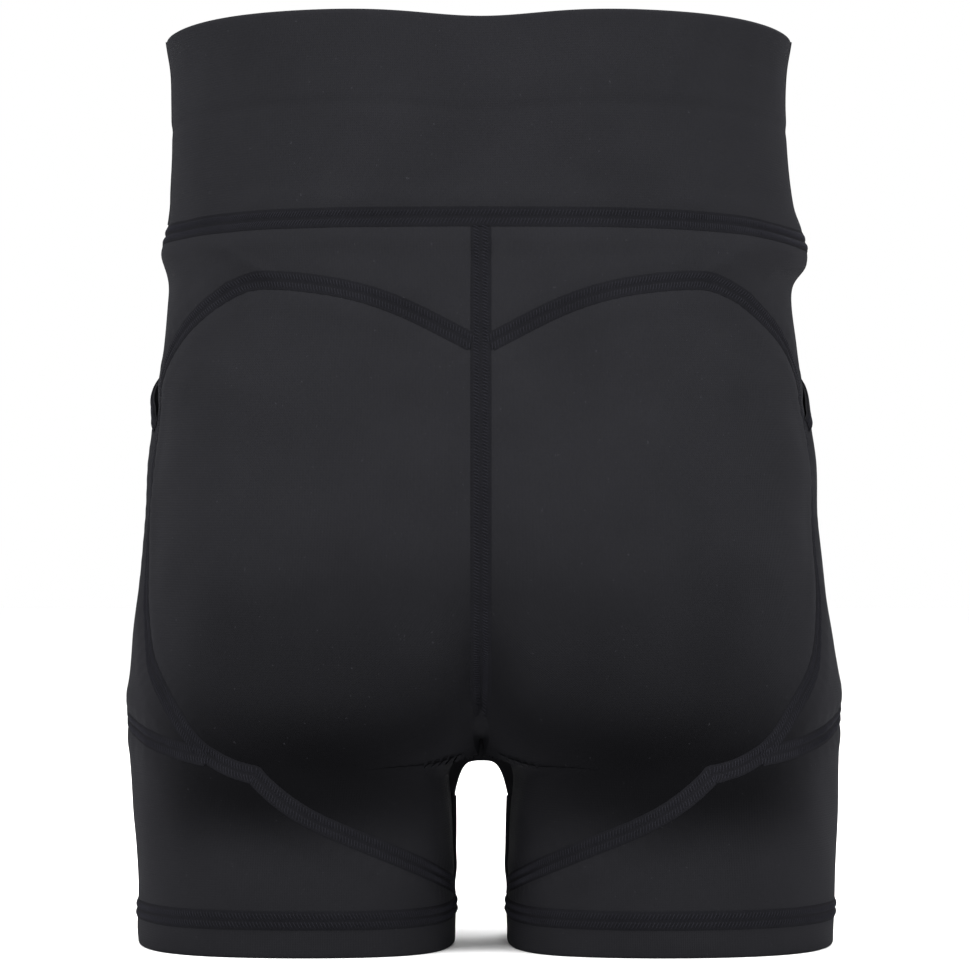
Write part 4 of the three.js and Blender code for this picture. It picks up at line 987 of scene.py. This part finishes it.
def apply_all(obj):
    """Puts the result of every modifier into the mesh."""
    evaluated = obj.evaluated_get(bpy.context.evaluated_depsgraph_get())
    done = bpy.data.meshes.new_from_object(evaluated)
    obj.modifiers.clear()
    obj.data = done


def swollen(obj, voxel, cap):
    """Remeshes a pad evenly and lets it swell as a stuffed form, with no point moving further than cap."""
    even = obj.modifiers.new("even", "REMESH")
    even.mode, even.voxel_size = "VOXEL", voxel
    apply_all(obj)
    count = len(obj.data.vertices)
    before = np.empty(count * 3, np.float32)
    obj.data.vertices.foreach_get("co", before)
    cloth = obj.modifiers.new("fill", "CLOTH")
    cloth.settings.use_pressure = True
    cloth.settings.uniform_pressure_force = 4
    cloth.settings.effector_weights.gravity = 0
    for step in range(1, 16):
        bpy.context.scene.frame_set(step)
    apply_all(obj)
    after = np.empty(count * 3, np.float32)
    obj.data.vertices.foreach_get("co", after)
    bpy.context.scene.frame_set(1)
    move = (after - before).reshape(-1, 3)
    far = np.linalg.norm(move, axis=1, keepdims=True)
    move *= np.minimum(1, cap / np.maximum(far, 1e-9))
    obj.data.vertices.foreach_set("co", (before.reshape(-1, 3) + move).ravel())


def grooves(obj, level, out, pitch, depth):
    """Moulded channels: two sets of slanting lines, pitch apart, sunk into the pad's inner face by depth."""
    count = len(obj.data.vertices)
    co, no = np.empty(count * 3, np.float32), np.empty(count * 3, np.float32)
    obj.data.vertices.foreach_get("co", co)
    obj.data.vertex_normals.foreach_get("vector", no)
    co, no = co.reshape(-1, 3), no.reshape(-1, 3)
    u, v = (co - co.mean(0)) @ np.array(level), co[:, 2] - co[:, 2].mean()
    line = lambda w: np.exp(-((np.abs((w / pitch + 0.5) % 1 - 0.5) * pitch / 0.0013) ** 2))
    sunk = np.maximum(line(u * 0.87 + v * 0.5), line(u * 0.87 - v * 0.5))
    inward = -(no @ np.array(out))
    co -= no * (sunk * depth * ease((inward - 0.5) / 0.3))[:, None]
    obj.data.vertices.foreach_set("co", co.ravel())
    obj.data.update()


PAD_GRID, PAD_SWELL = 0.0016, 0.0006
GROOVE_PITCH, GROOVE_DEPTH = 0.017, 0.0012
PADS = (
    ("hip_pad_right", (0, 1, 0), (1, 0, 0)), ("hip_pad_left", (0, 1, 0), (-1, 0, 0)),
    ("tailbone_pad", (1, 0, 0), (0, -1, 0)),
)
for name, level, out in PADS:
    pad = frame_copy(f"{name}_foam", f"{name}_moulded_foam")
    swollen(pad, PAD_GRID, PAD_SWELL)
    grooves(pad, level, out, GROOVE_PITCH, GROOVE_DEPTH)
    pad.data.shade_smooth()
    dress(pad, foam, "impact_foam", [f"{name}_foam"], name)
    for part, material, slot_name in (("backing", lining, "lining_knit"), ("sleeve", net, "mesh_knit")):
        sheet = frame_copy(f"{name}_{part}", f"{name}_{part}_cloth")
        soft = sheet.modifiers.new("soft", "SUBSURF")
        soft.subdivision_type = "SIMPLE"
        soft.levels = soft.render_levels = 2
        apply_all(sheet)
        count = len(sheet.data.vertices)
        co = np.empty(count * 3, np.float32)
        sheet.data.vertices.foreach_get("co", co)
        co = co.reshape(-1, 3)
        flat = np.stack([co @ np.array(level), co[:, 2]], -1)
        corner = np.empty(len(sheet.data.loops), np.int32)
        sheet.data.loops.foreach_get("vertex_index", corner)
        layer = sheet.data.uv_layers.new(name="cloth")
        layer.data.foreach_set("uv", flat[corner].astype(np.float32).ravel())
        sheet.data.shade_smooth()
        sheet.data.set_sharp_from_angle(angle=math.radians(40))
        rides = name if part == "backing" else "shorts"
        dress(sheet, material, slot_name, [f"{name}_{part}"], rides)
        low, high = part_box(f"{name}_{part}")
        size = high - low
        cut(sheet)


# ---- Floor, light and camera ----
def pale_floor():
    """A wide level square, matt and pale."""
    mesh = bpy.data.meshes.new("floor")
    mesh.from_pydata([(-6, -6, 0), (6, -6, 0), (6, 6, 0), (-6, 6, 0)], [], [(0, 1, 2, 3)])
    floor = bpy.data.objects.new("floor", mesh)
    bpy.context.scene.collection.objects.link(floor)
    mat, tree = new_material("pale_floor")
    tree.nodes["Principled BSDF"].inputs["Base Color"].default_value = linear("#fdfdfd")
    tree.nodes["Principled BSDF"].inputs["Roughness"].default_value = 0.9
    mesh.materials.append(mat)


def soft_light(name, place, aim, size, power):
    """A square area light that faces a point."""
    light = bpy.data.lights.new(name, "AREA")
    light.size, light.energy = size, power
    lamp = bpy.data.objects.new(name, light)
    bpy.context.scene.collection.objects.link(lamp)
    lamp.location = place
    way = np.array(aim, float) - np.array(place, float)
    lamp.rotation_mode = "QUATERNION"
    lamp.rotation_quaternion = Vector(way).to_track_quat("-Z", "Y")


pale_floor()
soft_light("key", (-0.7, -1.0, 1.9), (0, 0, 0.35), 0.9, 46)
soft_light("fill", (0.9, -0.9, 1.7), (0, 0, 0.35), 0.9, 30)
soft_light("rim_left", (-1.3, 0.5, 0.9), (0, 0, 0.25), 0.7, 7)
soft_light("rim_right", (1.3, 0.5, 0.9), (0, 0, 0.25), 0.7, 5)
soft_light("front", (0.4, 1.3, 1.7), (0, 0, 0.3), 0.9, 34)
world = bpy.data.worlds.new("studio")
bpy.context.scene.world = world
world.use_nodes = True
world.node_tree.nodes["Background"].inputs[0].default_value = (1, 1, 1, 1)
world.node_tree.nodes["Background"].inputs[1].default_value = 1.0

eye = bpy.data.cameras.new("camera")
eye.lens, eye.sensor_width = 177.5, 36
camera = bpy.data.objects.new("camera", eye)
bpy.context.scene.collection.objects.link(camera)
camera.location = (0.0018, -2.2, 0.210)
camera.rotation_euler = (math.pi / 2, 0, 0)
bpy.context.scene.camera = camera
bpy.context.scene.view_settings.view_transform = "Standard"
